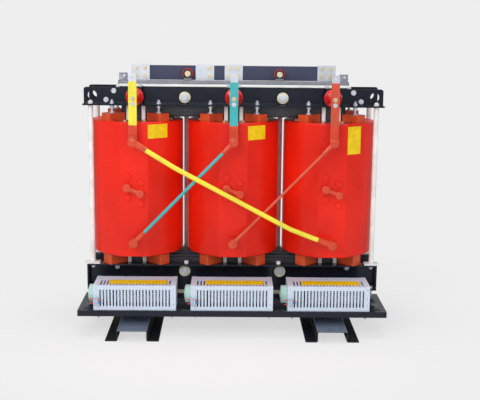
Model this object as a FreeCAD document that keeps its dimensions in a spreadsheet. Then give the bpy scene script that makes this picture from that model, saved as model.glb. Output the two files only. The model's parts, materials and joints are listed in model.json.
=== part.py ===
import FreeCAD, Part
import math
import os
import re
import Sketcher

# A three-phase dry-type distribution transformer with resin-cast coils and cross-flow fans.
# X runs along the row of coils, Y from the high-voltage side to the low-voltage side, Z up.
# The origin lies on the floor, under the axis of the middle coil. Millimetres throughout.

SIZES = {
    # Coils
    "coil_pitch": 540, "coil_radius": 256, "coil_bore": 205, "coil_height": 740,
    "coil_rim": 6, "pad_width": 153, "pad_stand": 6,
    "winding_duct": 33, "lv_coil_wall": 44, "spacer_width": 14, "spacer_proud": 8,
    # Cast bosses on the front pad
    "tap_radius": 19.5, "tap_stand": 10, "tap_spacing": 73, "tap_step": 59, "tap_shift": 31,
    "tap_link_radius": 22, "tap_link_stand": 38, "tap_rod_radius": 13, "tap_rim": 4, "tap_level": 372,
    "terminal_radius": 19, "terminal_stand": 32, "terminal_low": 89, "terminal_high": 645,
    # Core
    "limb_width": 168, "core_depth": 196, "first_packet_depth": 124, "second_packet_depth": 168,
    "second_packet_width": 144, "third_packet_width": 116, "yoke_drop": 28, "core_rise": 4,
    "cover_wall": 3, "cover_overhang": 26, "cover_set": 8,
    "strut_width": 20, "strut_depth": 12, "strut_spread": 42,
    # Levels of the frame, one on the other
    "rail_height": 60, "beam_height": 96, "base_pad_height": 20, "lower_clamp_height": 145,
    "lower_block_height": 65, "upper_block_height": 42, "stud_gap": 42, "upper_clamp_height": 96,
    # Rails and beams
    "rail_gauge": 1060, "rail_length": 1120, "rail_web": 164, "rail_width": 284,
    "rail_wall": 6, "rail_bend": 10, "rail_hole_inset": 74, "rail_hole_radius": 11,
    "beam_inset": 35, "beam_wall": 6, "rail_bolt_span": 90,
    "base_pad_length": 110, "base_pad_inner": 285, "outer_pad_inset": 80,
    # Clamps
    "frame_end_gap": 19, "upper_clamp_overhang": 11,
    "yoke_sheet": 2, "clamp_wall": 8, "clamp_reach": 62, "clamp_bend": 12,
    "clamp_corner": 14, "end_plate_wall": 8,
    "lift_hole_radius": 25, "lift_hole_inset": 47, "lift_hole_rise": 52,
    "core_bolt_radius": 10, "upper_bolt_rise": 43.5, "lower_bolt_rise": 95, "hole_play": 1,
    "washer_radius": 31, "washer_wall": 6, "bolt_plate_width": 70, "bolt_plate_wall": 6,
    "clamp_bolt_radius": 8, "outer_bolt_inset": 123, "inner_bolt_inset": 166,
    "clamp_bolt_low_rise": 27, "clamp_bolt_high_rise": 76,
    "side_bolt_inset": 164, "lower_side_rise": 118,
    # Tie rods
    "tie_inset": 30, "tie_radius": 8, "tie_tube_radius": 14, "tie_foot_length": 82,
    "tie_foot_width": 56, "tie_foot_wall": 9, "tie_cup_radius": 24, "tie_cup_height": 44,
    "flange_cap_radius": 12, "flange_cap_height": 14, "flange_cap_x": 260,
    # Support blocks and their studs
    "block_width": 69, "block_edge": 4, "block_reach": 229, "yoke_clearance": 5, "stud_radius": 7,
    "stud_inset": 128, "stud_offset": 135, "stud_rise": 22,
    # High-voltage connections
    "bracket_width": 78, "bracket_stand": 63, "bracket_wall": 6, "bracket_bolt_spread": 27,
    "insulator_level": 1260, "insulator_foot_radius": 49, "insulator_nose_radius": 25,
    "bar_width": 40, "bar_wall": 6, "sleeve_wall": 2, "tab_rise": 42,
    "sleeve_top": 1349, "sleeve_bottom": 1117, "tab_hole_radius": 5.5, "tab_corner": 14,
    "bar_screw_drop": 29, "bar_screw_radius": 5,
    "boot_wall": 4, "boot_radius": 23, "boot_play": 0.3, "rod_boot_length": 84,
    "yellow_rod_radius": 13, "green_rod_radius": 9, "red_rod_radius": 8, "rod_boot_wall": 4,
    "front_rod_depth": 338, "back_rod_depth": 313, "yellow_bend_left": 313,
    "yellow_bend_left_level": 893, "yellow_bend_right": 309, "yellow_bend_right_level": 564,
    "yellow_bend_radius": 260,
    # Low-voltage connections
    "lv_plane": 205, "lead_wall": 8, "lead_width": 105, "lead_foot": 150, "lead_bend_level": 1152,
    "lead_top": 1420, "plate_height": 86, "plate_bolt_x": 24, "plate_bolt_z": 22,
    "plate_bolt_radius": 6, "board_edge": 8, "board_bottom": 1330, "board_height": 84,
    "board_wall": 12, "neutral_x": 167, "neutral_width": 107, "neutral_bar_level": 1143,
    "neutral_bar_height": 34, "neutral_foot_x": 72, "neutral_foot_width": 20, "neutral_foot_y": 134,
    "support_bar_overhang": 120, "support_bar_level": 1314, "support_bar_depth": 78,
    "support_bar_height": 16, "post_span": 532, "post_level": 1368, "post_radius": 30,
    "lug_radius": 26, "lug_foot_width": 40, "lug_wall": 6,
    "tongue_width": 44, "tongue_wall": 4, "tongue_height": 14,
    # Fan tray
    "tray_overhang": 15, "tray_front": 460, "tray_top": 138, "tray_height": 32, "tray_wall": 4,
    "tray_flange": 40, "tray_back": 100, "tray_middle": 300, "hanger_inset": 26,
    "hanger_radius": 7, "tray_screw_radius": 4,
    # Cross-flow fans
    "fan_pitch": 520.5, "fan_shift": 3.5, "fan_length": 441, "fan_depth": 194, "fan_height": 136,
    "fan_front": 450, "fan_wall": 3, "motor_bay": 97, "slot_width": 8, "slot_pitch": 17.6,
    "slot_height": 93, "slot_rise": 20, "slot_count": 22, "first_slot": 36.7,
    "top_slot_length": 100, "top_slot_set": 12, "end_cap_length": 25, "end_cap_stand": 1.5,
    "cap_hole_radius": 2.5, "impeller_radius": 54, "impeller_hub": 9, "impeller_gap": 5,
    "impeller_disc": 2, "blade_count": 24, "blade_depth": 17, "blade_wall": 1.6, "blade_bow": 4,
    "shaft_radius": 4, "shaft_play": 0.3, "motor_radius": 48, "motor_proud": 28, "motor_gap": 17,
}

# Heights, planes and spans that follow from the sizes above.
LEVELS = {
    "frame_length": "2 * (coil_pitch + coil_radius + frame_end_gap)",
    "rail_hole_span": "rail_length - 2 * rail_hole_inset",
    "beam_length": "frame_length - 2 * beam_inset",
    "base_pad_outer": "beam_length / 2 - outer_pad_inset",
    "board_length": "2 * (coil_pitch + plate_bolt_x + board_edge)",
    "support_bar_length": "2 * (coil_pitch + support_bar_overhang)",
    "lower_clamp_length": "frame_length",
    "upper_clamp_length": "frame_length + 2 * upper_clamp_overhang",
    "tray_length": "frame_length + 2 * tray_overhang",
    "tie_span": "frame_length - 2 * tie_inset",
    "hanger_span": "frame_length - 2 * hanger_inset",
    "lift_hole_span": "upper_clamp_length - 2 * lift_hole_inset",
    "clamp_bolt_outer": "upper_clamp_length / 2 - outer_bolt_inset",
    "clamp_bolt_inner": "upper_clamp_length / 2 - inner_bolt_inset",
    "lower_side_bolt": "frame_length / 2 - side_bolt_inset",
    "beam_top": "rail_height + beam_height",
    "lower_clamp_bottom": "beam_top + base_pad_height",
    "lower_clamp_top": "lower_clamp_bottom + lower_clamp_height",
    "coil_bottom": "lower_clamp_top + lower_block_height",
    "coil_top": "coil_bottom + coil_height",
    "block_top": "coil_top + upper_block_height",
    "upper_clamp_bottom": "block_top + stud_gap",
    "upper_clamp_top": "upper_clamp_bottom + upper_clamp_height",
    "core_bottom": "lower_clamp_bottom + yoke_drop",
    "core_top": "upper_clamp_top + core_rise",
    "low_yoke_axis": "core_bottom + limb_width / 2",
    "high_yoke_axis": "core_top - limb_width / 2",
    "upper_bolt_level": "upper_clamp_bottom + upper_bolt_rise",
    "lower_bolt_level": "lower_clamp_bottom + lower_bolt_rise",
    "clamp_inner": "core_depth / 2 + yoke_sheet",
    "clamp_face": "clamp_inner + clamp_wall",
    "clamp_edge": "clamp_face + clamp_reach",
    "clamp_middle": "clamp_face + clamp_reach / 2",
    "coil_front": "coil_radius + pad_stand",
    "lv_coil_radius": "coil_bore - winding_duct",
    "lv_coil_bore": "lv_coil_radius - lv_coil_wall",
    "terminal_face": "coil_front + terminal_stand",
    "high_terminal": "coil_bottom + terminal_high",
    "low_terminal": "coil_bottom + terminal_low",
    "bar_face": "terminal_face + bar_wall",
    "tab_top": "sleeve_top + tab_rise",
    "bracket_front": "clamp_face + bracket_stand",
    "insulator_length": "terminal_face - sleeve_wall - bracket_front",
    "lead_back": "lv_plane + lead_wall",
    "support_bar_front": "clamp_inner + support_bar_depth",
    "fan_bottom": "tray_top",
    "fan_axis_y": "fan_depth / 2 - fan_front",
    "fan_axis_z": "fan_bottom + fan_height / 2",
}

PHASES = {"left": "-coil_pitch", "middle": "0", "right": "coil_pitch"}
FANS = {"left": "-fan_pitch - fan_shift", "middle": "-fan_shift", "right": "fan_pitch - fan_shift"}

X_AXIS = FreeCAD.Vector(1, 0, 0)
Y_AXIS = FreeCAD.Vector(0, 1, 0)
Z_AXIS = FreeCAD.Vector(0, 0, 1)
TURNED = {"x": FreeCAD.Rotation(Y_AXIS, 90), "y": FreeCAD.Rotation(X_AXIS, -90), "z": FreeCAD.Rotation()}

doc = FreeCAD.newDocument("dry_type_transformer")
sheet = doc.addObject("Spreadsheet::Sheet", "Sizes")
pieces = []


def fill_sheet():
    """Writes each size as a plain number, and each level as a formula of the sizes."""
    rows = [(name, str(number)) for name, number in SIZES.items()]
    rows += [(name, "=" + formula) for name, formula in LEVELS.items()]
    for row, (name, content) in enumerate(rows, start=1):
        sheet.set(f"A{row}", name)
        sheet.set(f"B{row}", content)
        sheet.setAlias(f"B{row}", name)
    doc.recompute()


CELL_NAMES = re.compile(r"\b(" + "|".join(list(SIZES) + list(LEVELS)) + r")\b")


def linked(formula):
    """The formula with each of the sheet's names turned into a link to its cell."""
    return CELL_NAMES.sub(r"Sizes.\1", str(formula))


def worth(formula):
    """The number that a formula of the sheet's names stands for."""
    return float(sheet.evalExpression(linked(formula)))


def keep(piece, name):
    """Makes the object one of the transformer's named pieces."""
    piece.Label = name
    pieces.append(piece)
    return piece


# Primitives and booleans whose sizes are bound to the sheet

def block(name, x, y, z):
    """A box that runs between two formulas along each axis."""
    solid = doc.addObject("Part::Box", name)
    for side, axis, (low, high) in zip(("Length", "Width", "Height"), "xyz", (x, y, z)):
        solid.setExpression(side, linked(f"({high}) - ({low})"))
        solid.setExpression(f".Placement.Base.{axis}", linked(low))
    return solid


def place(solid, spot, along):
    """Turns a round primitive along an axis and puts its start at three formulas."""
    solid.Placement = FreeCAD.Placement(FreeCAD.Vector(), TURNED[along])
    for axis, formula in zip("xyz", spot):
        solid.setExpression(f".Placement.Base.{axis}", linked(formula))
    return solid


def rod(name, radius, spot, along, length):
    """A cylinder from a spot along an axis."""
    solid = doc.addObject("Part::Cylinder", name)
    solid.setExpression("Radius", linked(radius))
    solid.setExpression("Height", linked(length))
    return place(solid, spot, along)


def fuse(name, solids):
    """One solid from several that touch or overlap."""
    joined = doc.addObject("Part::MultiFuse", name)
    joined.Shapes = solids
    joined.Refine = True
    return joined


def cut(name, solid, tools):
    """A solid with the tools taken out of it."""
    result = doc.addObject("Part::Cut", name)
    result.Base = solid
    result.Tool = tools[0] if len(tools) == 1 else fuse(name + "_tools", tools)
    result.Refine = True
    return result


def mirror(name, solid, normal):
    """The solid's mirror image across the plane through the origin with this normal."""
    image = doc.addObject("Part::Mirroring", name)
    image.Source = solid
    image.Normal = normal
    return image


def group(name, solids):
    """Separate like solids that share one node."""
    bundle = doc.addObject("Part::Compound", name)
    bundle.Links = solids
    return bundle


def formed(name, shape):
    """A piece whose shape is worked out from the sheet by geometry functions."""
    feature = doc.addObject("Part::Feature", name)
    feature.Shape = shape
    feature.Placement = FreeCAD.Placement()
    return feature


# Bodies made of sketches

def new_body(name):
    body = doc.addObject("PartDesign::Body", name)
    doc.recompute()
    return body


def new_sketch(body, plane, name, offset="0"):
    """A sketch on one of the body's own origin planes, moved along its normal."""
    drawing = body.newObject("Sketcher::SketchObject", name)
    support = next(item for item in body.Origin.OriginFeatures if item.Role == plane)
    drawing.AttachmentSupport = [(support, "")]
    drawing.MapMode = "FlatFace"
    drawing.setExpression(".AttachmentOffset.Base.z", linked(offset))
    return drawing


def tie_point(drawing, line, end, x, y):
    """Fixes a point of the sketch by two formulas measured from its origin."""
    for kind, axis, formula in (("DistanceX", -2, x), ("DistanceY", -1, y)):
        number = worth(formula)
        if abs(number) < 1e-9:
            drawing.addConstraint(Sketcher.Constraint("PointOnObject", line, end, axis))
            continue
        index = drawing.addConstraint(Sketcher.Constraint(kind, -1, 1, line, end, number))
        drawing.setExpression(f"Constraints[{index}]", linked(formula))


def outline(drawing, corners):
    """A closed outline of straight lines through corners given as pairs of formulas."""
    points = [FreeCAD.Vector(worth(x), worth(y), 0) for x, y in corners]
    lines = []
    for number, start in enumerate(points):
        end = points[(number + 1) % len(points)]
        lines.append(drawing.addGeometry(Part.LineSegment(start, end), False))
    for number, line in enumerate(lines):
        following = lines[(number + 1) % len(lines)]
        drawing.addConstraint(Sketcher.Constraint("Coincident", line, 2, following, 1))
        tie_point(drawing, line, 1, *corners[number])
    return lines


def circle(drawing, x, y, radius):
    """A circle whose centre and radius are formulas."""
    centre = FreeCAD.Vector(worth(x), worth(y), 0)
    ring = drawing.addGeometry(Part.Circle(centre, FreeCAD.Vector(0, 0, 1), worth(radius)), False)
    index = drawing.addConstraint(Sketcher.Constraint("Radius", ring, worth(radius)))
    drawing.setExpression(f"Constraints[{index}]", linked(radius))
    tie_point(drawing, ring, 3, x, y)
    return ring


def pad(body, drawing, length, both_ways=False):
    feature = body.newObject("PartDesign::Pad", "pad")
    feature.Profile = drawing
    feature.setExpression("Length", linked(length))
    if both_ways:
        feature.SideType = "Symmetric"
    doc.recompute()
    return feature


def holes_through(body, plane, name, circles):
    """Round holes that run right through the body, square to one of its planes."""
    drawing = new_sketch(body, plane, name)
    for x, y, radius in circles:
        circle(drawing, x, y, radius)
    before = body.Shape.Volume
    pocket = body.newObject("PartDesign::Pocket", name + "_pocket")
    pocket.Profile = drawing
    pocket.Type = "ThroughAll"
    pocket.SideType = "Symmetric"
    doc.recompute()
    if body.Shape.Volume >= before:
        raise ValueError(name + " cuts nothing")
    return pocket


def round_edges(body, name, radius, chosen):
    """Rounds the body's edges whose middle passes the test."""
    sharp = body.Tip
    edges = [f"Edge{number}" for number, edge in enumerate(sharp.Shape.Edges, start=1)
             if chosen(edge.CenterOfMass)]
    fillet = body.newObject("PartDesign::Fillet", name)
    fillet.Base = (sharp, edges)
    fillet.setExpression("Radius", linked(radius))
    doc.recompute()
    return fillet


def near(first, second):
    return abs(first - second) < 1e-4


# Core: mitred stacks of sheet steel in three packets

def packet_sizes():
    """Width and depth of the three packets that step each limb towards a circle."""
    yield size["limb_width"], size["first_packet_depth"]
    yield size["second_packet_width"], size["second_packet_depth"]
    yield size["third_packet_width"], size["core_depth"]


def stack(corners_of):
    """One core piece: its outline in each packet, fused into a stepped bar."""
    layers = []
    for width, depth in packet_sizes():
        points = [FreeCAD.Vector(x, -depth / 2, z) for x, z in corners_of(width / 2)]
        face = Part.Face(Part.makePolygon(points + points[:1]))
        layers.append(face.extrude(FreeCAD.Vector(0, depth, 0)))
    return layers[0].fuse(layers[1:]).removeSplitter()


def yoke_corners(axis, inward):
    """Outline of a yoke with mitred ends and a notch for the middle limb."""
    pitch = size["coil_pitch"]

    def corners(half):
        outer = axis - inward * half
        inner = axis + inward * half
        return [(-pitch - half, outer), (pitch + half, outer), (pitch - half, inner), (half, inner),
                (0, axis), (-half, inner), (half - pitch, inner)]
    return corners


def outer_limb_corners(side):
    """Outline of an outer limb, mitred at both ends."""
    pitch = size["coil_pitch"]
    low, high = size["low_yoke_axis"], size["high_yoke_axis"]

    def corners(half):
        return [(side * (pitch + half), low - half), (side * (pitch + half), high + half),
                (side * (pitch - half), high - half), (side * (pitch - half), low + half)]
    return corners


def middle_limb_corners(half):
    """Outline of the middle limb, pointed at both ends."""
    low, high = size["low_yoke_axis"], size["high_yoke_axis"]
    return [(-half, low + half), (0, low), (half, low + half), (half, high - half), (0, high),
            (-half, high - half)]


def core():
    """Two yokes bored for the clamping bolts, three limbs, and the sheet that covers the top."""
    for name, axis, inward, level in (("core_top_yoke", "high_yoke_axis", -1, "upper_bolt_level"),
                                      ("core_bottom_yoke", "low_yoke_axis", 1, "lower_bolt_level")):
        bar = formed(name + "_stack", stack(yoke_corners(size[axis], inward)))
        bores = [rod(name + "_bore", "core_bolt_radius + hole_play", (x, "-core_depth", level), "y",
                     "2 * core_depth") for x in ("-coil_pitch / 2", "coil_pitch / 2")]
        keep(cut(name, bar, bores), name)
    keep(formed("core_limb_left", stack(outer_limb_corners(-1))), "core_limb_left")
    keep(formed("core_limb_middle", stack(middle_limb_corners)), "core_limb_middle")
    keep(formed("core_limb_right", stack(outer_limb_corners(1))), "core_limb_right")
    reach = "(coil_pitch + limb_width / 2 + cover_overhang)"
    across = ("cover_set - core_depth / 2", "core_depth / 2 - cover_set")
    cover = block("yoke_cover", (f"-{reach}", reach), across, ("core_top", "core_top + cover_wall"))
    keep(cover, "yoke_cover")


# Frame: clamps, rails, beams and pads

def upper_clamps():
    """Folded angle with its lip outward at the bottom, lifting holes at its ends."""
    body = new_body("upper_clamp_front")
    profile = new_sketch(body, "YZ_Plane", "angle_profile")
    outline(profile, [("-clamp_inner", "upper_clamp_bottom"), ("-clamp_inner", "upper_clamp_top"),
                      ("-clamp_face", "upper_clamp_top"),
                      ("-clamp_face", "upper_clamp_bottom + clamp_wall"),
                      ("-clamp_edge", "upper_clamp_bottom + clamp_wall"),
                      ("-clamp_edge", "upper_clamp_bottom")])
    pad(body, profile, "upper_clamp_length", both_ways=True)
    round_edges(body, "outer_bend", "clamp_bend", lambda p: near(p.x, 0) and near(
        p.y, -size["clamp_inner"]) and near(p.z, size["upper_clamp_bottom"]))
    round_edges(body, "inner_bend", "clamp_bend - clamp_wall", lambda p: near(p.x, 0) and near(
        p.y, -size["clamp_face"]) and near(p.z, size["upper_clamp_bottom"] + size["clamp_wall"]))
    round_edges(body, "corners", "clamp_corner", lambda p: near(p.z, size["upper_clamp_top"])
                and near(abs(p.x), size["upper_clamp_length"] / 2))
    circles = []
    for side in ("-1", "1"):
        circles += [
            (f"{side} * coil_pitch / 2", "upper_bolt_level", "core_bolt_radius + hole_play"),
            (f"{side} * lift_hole_span / 2", "upper_clamp_bottom + lift_hole_rise", "lift_hole_radius"),
            (f"{side} * clamp_bolt_outer", "upper_clamp_bottom + clamp_bolt_low_rise",
             "clamp_bolt_radius + hole_play"),
            (f"{side} * clamp_bolt_inner", "upper_clamp_bottom + clamp_bolt_high_rise",
             "clamp_bolt_radius + hole_play")]
    holes_through(body, "XZ_Plane", "web_holes", circles)
    lip_holes = [(x, "-stud_offset", "stud_radius + hole_play") for x in stud_places()]
    lip_holes += [(f"{side} * tie_span / 2", "-clamp_middle", "tie_radius + hole_play")
                  for side in ("-1", "1")]
    holes_through(body, "XY_Plane", "lip_holes", lip_holes)
    keep(body, "upper_clamp_front")
    rear = mirror("upper_clamp_rear_blank", body, Y_AXIS)
    bores = [rod("rear_tie_bore", "tie_radius + hole_play", (x, "clamp_middle", "upper_clamp_bottom - 1"),
                 "z", "clamp_wall + 2") for x in ("-coil_pitch / 2", "coil_pitch / 2")]
    keep(cut("upper_clamp_rear", rear, bores), "upper_clamp_rear")


def stud_places():
    """Places along X of the studs that press on the blocks, two for each coil."""
    return [f"{centre} + {side} * stud_inset" for centre in PHASES.values() for side in ("-1", "1")]


def lower_clamps():
    """Folded channel, open outward, with end plates and plates under the core bolts."""
    body = new_body("lower_channel")
    profile = new_sketch(body, "YZ_Plane", "channel_profile")
    outline(profile, [("-clamp_inner", "lower_clamp_bottom"), ("-clamp_inner", "lower_clamp_top"),
                      ("-clamp_edge", "lower_clamp_top"), ("-clamp_edge", "lower_clamp_top - clamp_wall"),
                      ("-clamp_face", "lower_clamp_top - clamp_wall"),
                      ("-clamp_face", "lower_clamp_bottom + clamp_wall"),
                      ("-clamp_edge", "lower_clamp_bottom + clamp_wall"),
                      ("-clamp_edge", "lower_clamp_bottom")])
    pad(body, profile, "lower_clamp_length", both_ways=True)
    low, high, wall = size["lower_clamp_bottom"], size["lower_clamp_top"], size["clamp_wall"]
    round_edges(body, "outer_bends", "clamp_bend", lambda p: near(p.x, 0) and near(
        p.y, -size["clamp_inner"]) and (near(p.z, low) or near(p.z, high)))
    round_edges(body, "inner_bends", "clamp_bend - clamp_wall", lambda p: near(p.x, 0) and near(
        p.y, -size["clamp_face"]) and (near(p.z, low + wall) or near(p.z, high - wall)))
    inside = ("lower_clamp_bottom + clamp_wall", "lower_clamp_top - clamp_wall")
    end = "lower_clamp_length / 2"
    ends = [block("left_end_plate", (f"-{end}", f"end_plate_wall - {end}"), ("-clamp_edge", "-clamp_face"),
                  inside),
            block("right_end_plate", (f"{end} - end_plate_wall", end), ("-clamp_edge", "-clamp_face"),
                  inside)]
    plates = [block("bolt_plate", (f"{side} * coil_pitch / 2 - bolt_plate_width / 2",
                                   f"{side} * coil_pitch / 2 + bolt_plate_width / 2"),
                    ("-clamp_face - bolt_plate_wall", "-clamp_face"), inside) for side in ("-1", "1")]
    blank = fuse("lower_clamp_blank", [body] + ends + plates)
    across = ("-clamp_edge", "y", "clamp_edge")
    bores = []
    for side in ("-1", "1"):
        for name, radius, x, level in (("core", "core_bolt_radius", "coil_pitch / 2", "lower_bolt_level"),
                                       ("side", "clamp_bolt_radius", "lower_side_bolt",
                                        "lower_clamp_bottom + lower_side_rise")):
            bores.append(rod(name + "_bore", radius + " + hole_play", (f"{side} * {x}", across[0], level),
                             across[1], across[2]))
        bores.append(rod("tie_bore", "tie_radius + hole_play",
                         (f"{side} * tie_span / 2", "-clamp_middle", "lower_clamp_top - clamp_wall - 1"),
                         "z", "clamp_wall + 2"))
        bores.append(rod("hanger_bore", "hanger_radius + hole_play",
                         (f"{side} * hanger_span / 2", "-clamp_middle", "lower_clamp_bottom - 1"),
                         "z", "clamp_wall + 2"))
    front = keep(cut("lower_clamp_front", blank, bores), "lower_clamp_front")
    rear = mirror("lower_clamp_rear_blank", front, Y_AXIS)
    inner = [rod("inner_tie_bore", "tie_radius + hole_play",
                 (x, "clamp_middle", "lower_clamp_top - clamp_wall - 1"), "z", "clamp_wall + 2")
             for x in ("-coil_pitch / 2", "coil_pitch / 2")]
    keep(cut("lower_clamp_rear", rear, inner), "lower_clamp_rear")


def base_rails():
    """Hat-section rails across the floor, with a floor flange on each side."""
    body = new_body("base_rail_right")
    profile = new_sketch(body, "XZ_Plane", "hat_profile")
    axis, foot, web = "rail_gauge / 2", "rail_width / 2", "rail_web / 2"
    shape = [(f"{axis} - {foot}", "0"), (f"{axis} - {web} + rail_wall", "0"),
             (f"{axis} - {web} + rail_wall", "rail_height - rail_wall"),
             (f"{axis} + {web} - rail_wall", "rail_height - rail_wall"),
             (f"{axis} + {web} - rail_wall", "0"), (f"{axis} + {foot}", "0"),
             (f"{axis} + {foot}", "rail_wall"), (f"{axis} + {web}", "rail_wall"),
             (f"{axis} + {web}", "rail_height"), (f"{axis} - {web}", "rail_height"),
             (f"{axis} - {web}", "rail_wall"), (f"{axis} - {foot}", "rail_wall")]
    outline(profile, shape)
    pad(body, profile, "rail_length", both_ways=True)
    half_web = size["rail_web"] / 2
    middle = size["rail_gauge"] / 2

    def on_outer_bend(p):
        return near(abs(p.x - middle), half_web) and near(p.z, size["rail_height"]) or (
            near(abs(p.x - middle), half_web - size["rail_wall"]) and near(p.z, 0))

    def on_inner_bend(p):
        return near(abs(p.x - middle), half_web) and near(p.z, size["rail_wall"]) or (
            near(abs(p.x - middle), half_web - size["rail_wall"])
            and near(p.z, size["rail_height"] - size["rail_wall"]))

    round_edges(body, "outer_bends", "rail_bend", lambda p: near(p.y, 0) and on_outer_bend(p))
    round_edges(body, "inner_bends", "rail_bend - rail_wall", lambda p: near(p.y, 0) and on_inner_bend(p))
    circles = [("rail_gauge / 2", f"{side} * rail_hole_span / 2", "rail_hole_radius")
               for side in ("-1", "1")]
    circles += [(f"rail_gauge / 2 + {place_x} * rail_bolt_span / 2", f"{side} * clamp_middle",
                 "clamp_bolt_radius + hole_play") for side in ("-1", "1") for place_x in ("-1", "1")]
    holes_through(body, "XY_Plane", "web_holes", circles)
    keep(body, "base_rail_right")
    keep(mirror("base_rail_left", body, X_AXIS), "base_rail_left")


def base_beams():
    """Folded channels, open inward, that stand on the rails under the lower clamps."""
    body = new_body("base_beam_front")
    profile = new_sketch(body, "YZ_Plane", "channel_profile")
    outline(profile, [("-clamp_edge", "rail_height"), ("-clamp_face", "rail_height"),
                      ("-clamp_face", "rail_height + beam_wall"),
                      ("beam_wall - clamp_edge", "rail_height + beam_wall"),
                      ("beam_wall - clamp_edge", "beam_top - beam_wall"),
                      ("-clamp_face", "beam_top - beam_wall"), ("-clamp_face", "beam_top"),
                      ("-clamp_edge", "beam_top")])
    pad(body, profile, "beam_length", both_ways=True)
    circles = [(f"{side} * rail_gauge / 2 + {place_x} * rail_bolt_span / 2", "-clamp_middle",
                "clamp_bolt_radius + hole_play") for side in ("-1", "1") for place_x in ("-1", "1")]
    holes_through(body, "XY_Plane", "rail_bolt_holes", circles)
    keep(body, "base_beam_front")
    keep(mirror("base_beam_rear", body, Y_AXIS), "base_beam_rear")
    pads = []
    for low, high in (("-clamp_edge", "-clamp_face"), ("clamp_face", "clamp_edge")):
        for centre in ("-base_pad_outer", "-base_pad_inner", "base_pad_inner", "base_pad_outer"):
            along = (f"{centre} - base_pad_length / 2", f"{centre} + base_pad_length / 2")
            pads.append(block("base_pad", along, (low, high), ("beam_top", "lower_clamp_bottom")))
    keep(group("base_pads", pads), "base_pads")


# Coils

def hv_coil(name, centre):
    """Cast tube with a proud front pad, eased into the round by tangent flats."""
    body = new_body(name)
    drawing = new_sketch(body, "XY_Plane", "plan")
    radius, front = size["coil_radius"], size["coil_front"]
    half = size["pad_width"] / 2
    lean = math.atan2(half, front) + math.acos(radius / math.hypot(half, front))
    touch = FreeCAD.Vector(radius * math.sin(lean), -radius * math.cos(lean), 0)
    other = FreeCAD.Vector(-touch.x, touch.y, 0)
    start_angle = lean - math.pi / 2
    arc = drawing.addGeometry(Part.ArcOfCircle(Part.Circle(FreeCAD.Vector(), FreeCAD.Vector(0, 0, 1), radius),
                                               start_angle, math.pi - start_angle), False)
    left_flat = drawing.addGeometry(Part.LineSegment(other, FreeCAD.Vector(-half, -front, 0)), False)
    face = drawing.addGeometry(Part.LineSegment(FreeCAD.Vector(-half, -front, 0),
                                                FreeCAD.Vector(half, -front, 0)), False)
    right_flat = drawing.addGeometry(Part.LineSegment(FreeCAD.Vector(half, -front, 0), touch), False)
    drawing.addConstraint(Sketcher.Constraint("Coincident", arc, 3, -1, 1))
    index = drawing.addConstraint(Sketcher.Constraint("Radius", arc, radius))
    drawing.setExpression(f"Constraints[{index}]", linked("coil_radius"))
    drawing.addConstraint(Sketcher.Constraint("Tangent", arc, 2, left_flat, 1))
    drawing.addConstraint(Sketcher.Constraint("Coincident", left_flat, 2, face, 1))
    drawing.addConstraint(Sketcher.Constraint("Coincident", face, 2, right_flat, 1))
    drawing.addConstraint(Sketcher.Constraint("Tangent", right_flat, 2, arc, 1))
    tie_point(drawing, face, 1, "-pad_width / 2", "-coil_front")
    tie_point(drawing, face, 2, "pad_width / 2", "-coil_front")
    drawing.setExpression(".AttachmentOffset.Base.z", linked("coil_bottom"))
    pad(body, drawing, "coil_height")
    for level in ("coil_bottom", "coil_top"):
        round_edges(body, "rim", "coil_rim", lambda p: near(p.z, size[level]))
    holes_through(body, "XY_Plane", "bore", [("0", "0", "coil_bore")])
    terminals = new_sketch(body, "XZ_Plane", "terminals", "coil_front")
    for level in ("high_terminal", "low_terminal"):
        circle(terminals, "0", level, "terminal_radius")
    pad(body, terminals, "terminal_stand")
    taps = new_sketch(body, "XZ_Plane", "taps", "coil_front")
    for side, shift in (("-1", "tap_shift"), ("1", "0")):
        for step in ("-1", "0", "1"):
            level = f"coil_bottom + tap_level + {step} * tap_step + {shift} - tap_shift / 2"
            circle(taps, f"{side} * tap_spacing / 2", level, "tap_radius")
    pad(body, taps, "tap_stand")
    round_edges(body, "tap_rims", "tap_rim", lambda p: near(p.y, -size["coil_front"] - size["tap_stand"]))
    body.setExpression(".Placement.Base.x", linked(centre))
    keep(body, name)


def lv_coil(name, centre):
    """Wound foil tube cast in resin, inside the high-voltage coil."""
    outer = rod(name + "_outside", "lv_coil_radius", (centre, "0", "coil_bottom"), "z", "coil_height")
    inner = rod(name + "_inside", "lv_coil_bore", (centre, "0", "coil_bottom - 1"), "z", "coil_height + 2")
    keep(cut(name, outer, [inner]), name)


def duct_spacers():
    """Upright sticks that hold the two windings apart, flush where they stand under the blocks."""
    sticks = []
    inner = size["lv_coil_radius"] + size["boot_play"]
    width = size["spacer_width"]
    outer = math.sqrt((size["coil_bore"] - size["boot_play"]) ** 2 - width ** 2 / 4)
    corner = FreeCAD.Vector(inner, -width / 2, size["coil_bottom"])
    flush = Part.makeBox(outer - inner, width, size["coil_height"], corner)
    proud = Part.makeBox(outer - inner, width, size["coil_height"] + size["spacer_proud"], corner)
    for centre in (-1, 0, 1):
        for number in range(12):
            turned = (flush if number % 3 == 1 else proud).copy()
            turned.rotate(FreeCAD.Vector(), Z_AXIS, 15 + 30 * number)
            turned.translate(X_AXIS * centre * size["coil_pitch"])
            sticks.append(turned)
    keep(formed("duct_spacers", Part.makeCompound(sticks)), "duct_spacers")


def limb_struts():
    """Insulating bars between each limb and its coil, from the lower clamps to the upper ones."""
    struts = []
    for centre in PHASES.values():
        for side in ("-1", "1"):
            middle = f"{centre} + {side} * strut_spread"
            for low, high in (("-clamp_inner - strut_depth", "-clamp_inner"),
                              ("clamp_inner", "clamp_inner + strut_depth")):
                along = (f"{middle} - strut_width / 2", f"{middle} + strut_width / 2")
                struts.append(block("limb_strut", along, (low, high),
                                    ("lower_clamp_top", "upper_clamp_bottom")))
    keep(group("limb_struts", struts), "limb_struts")


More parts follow.
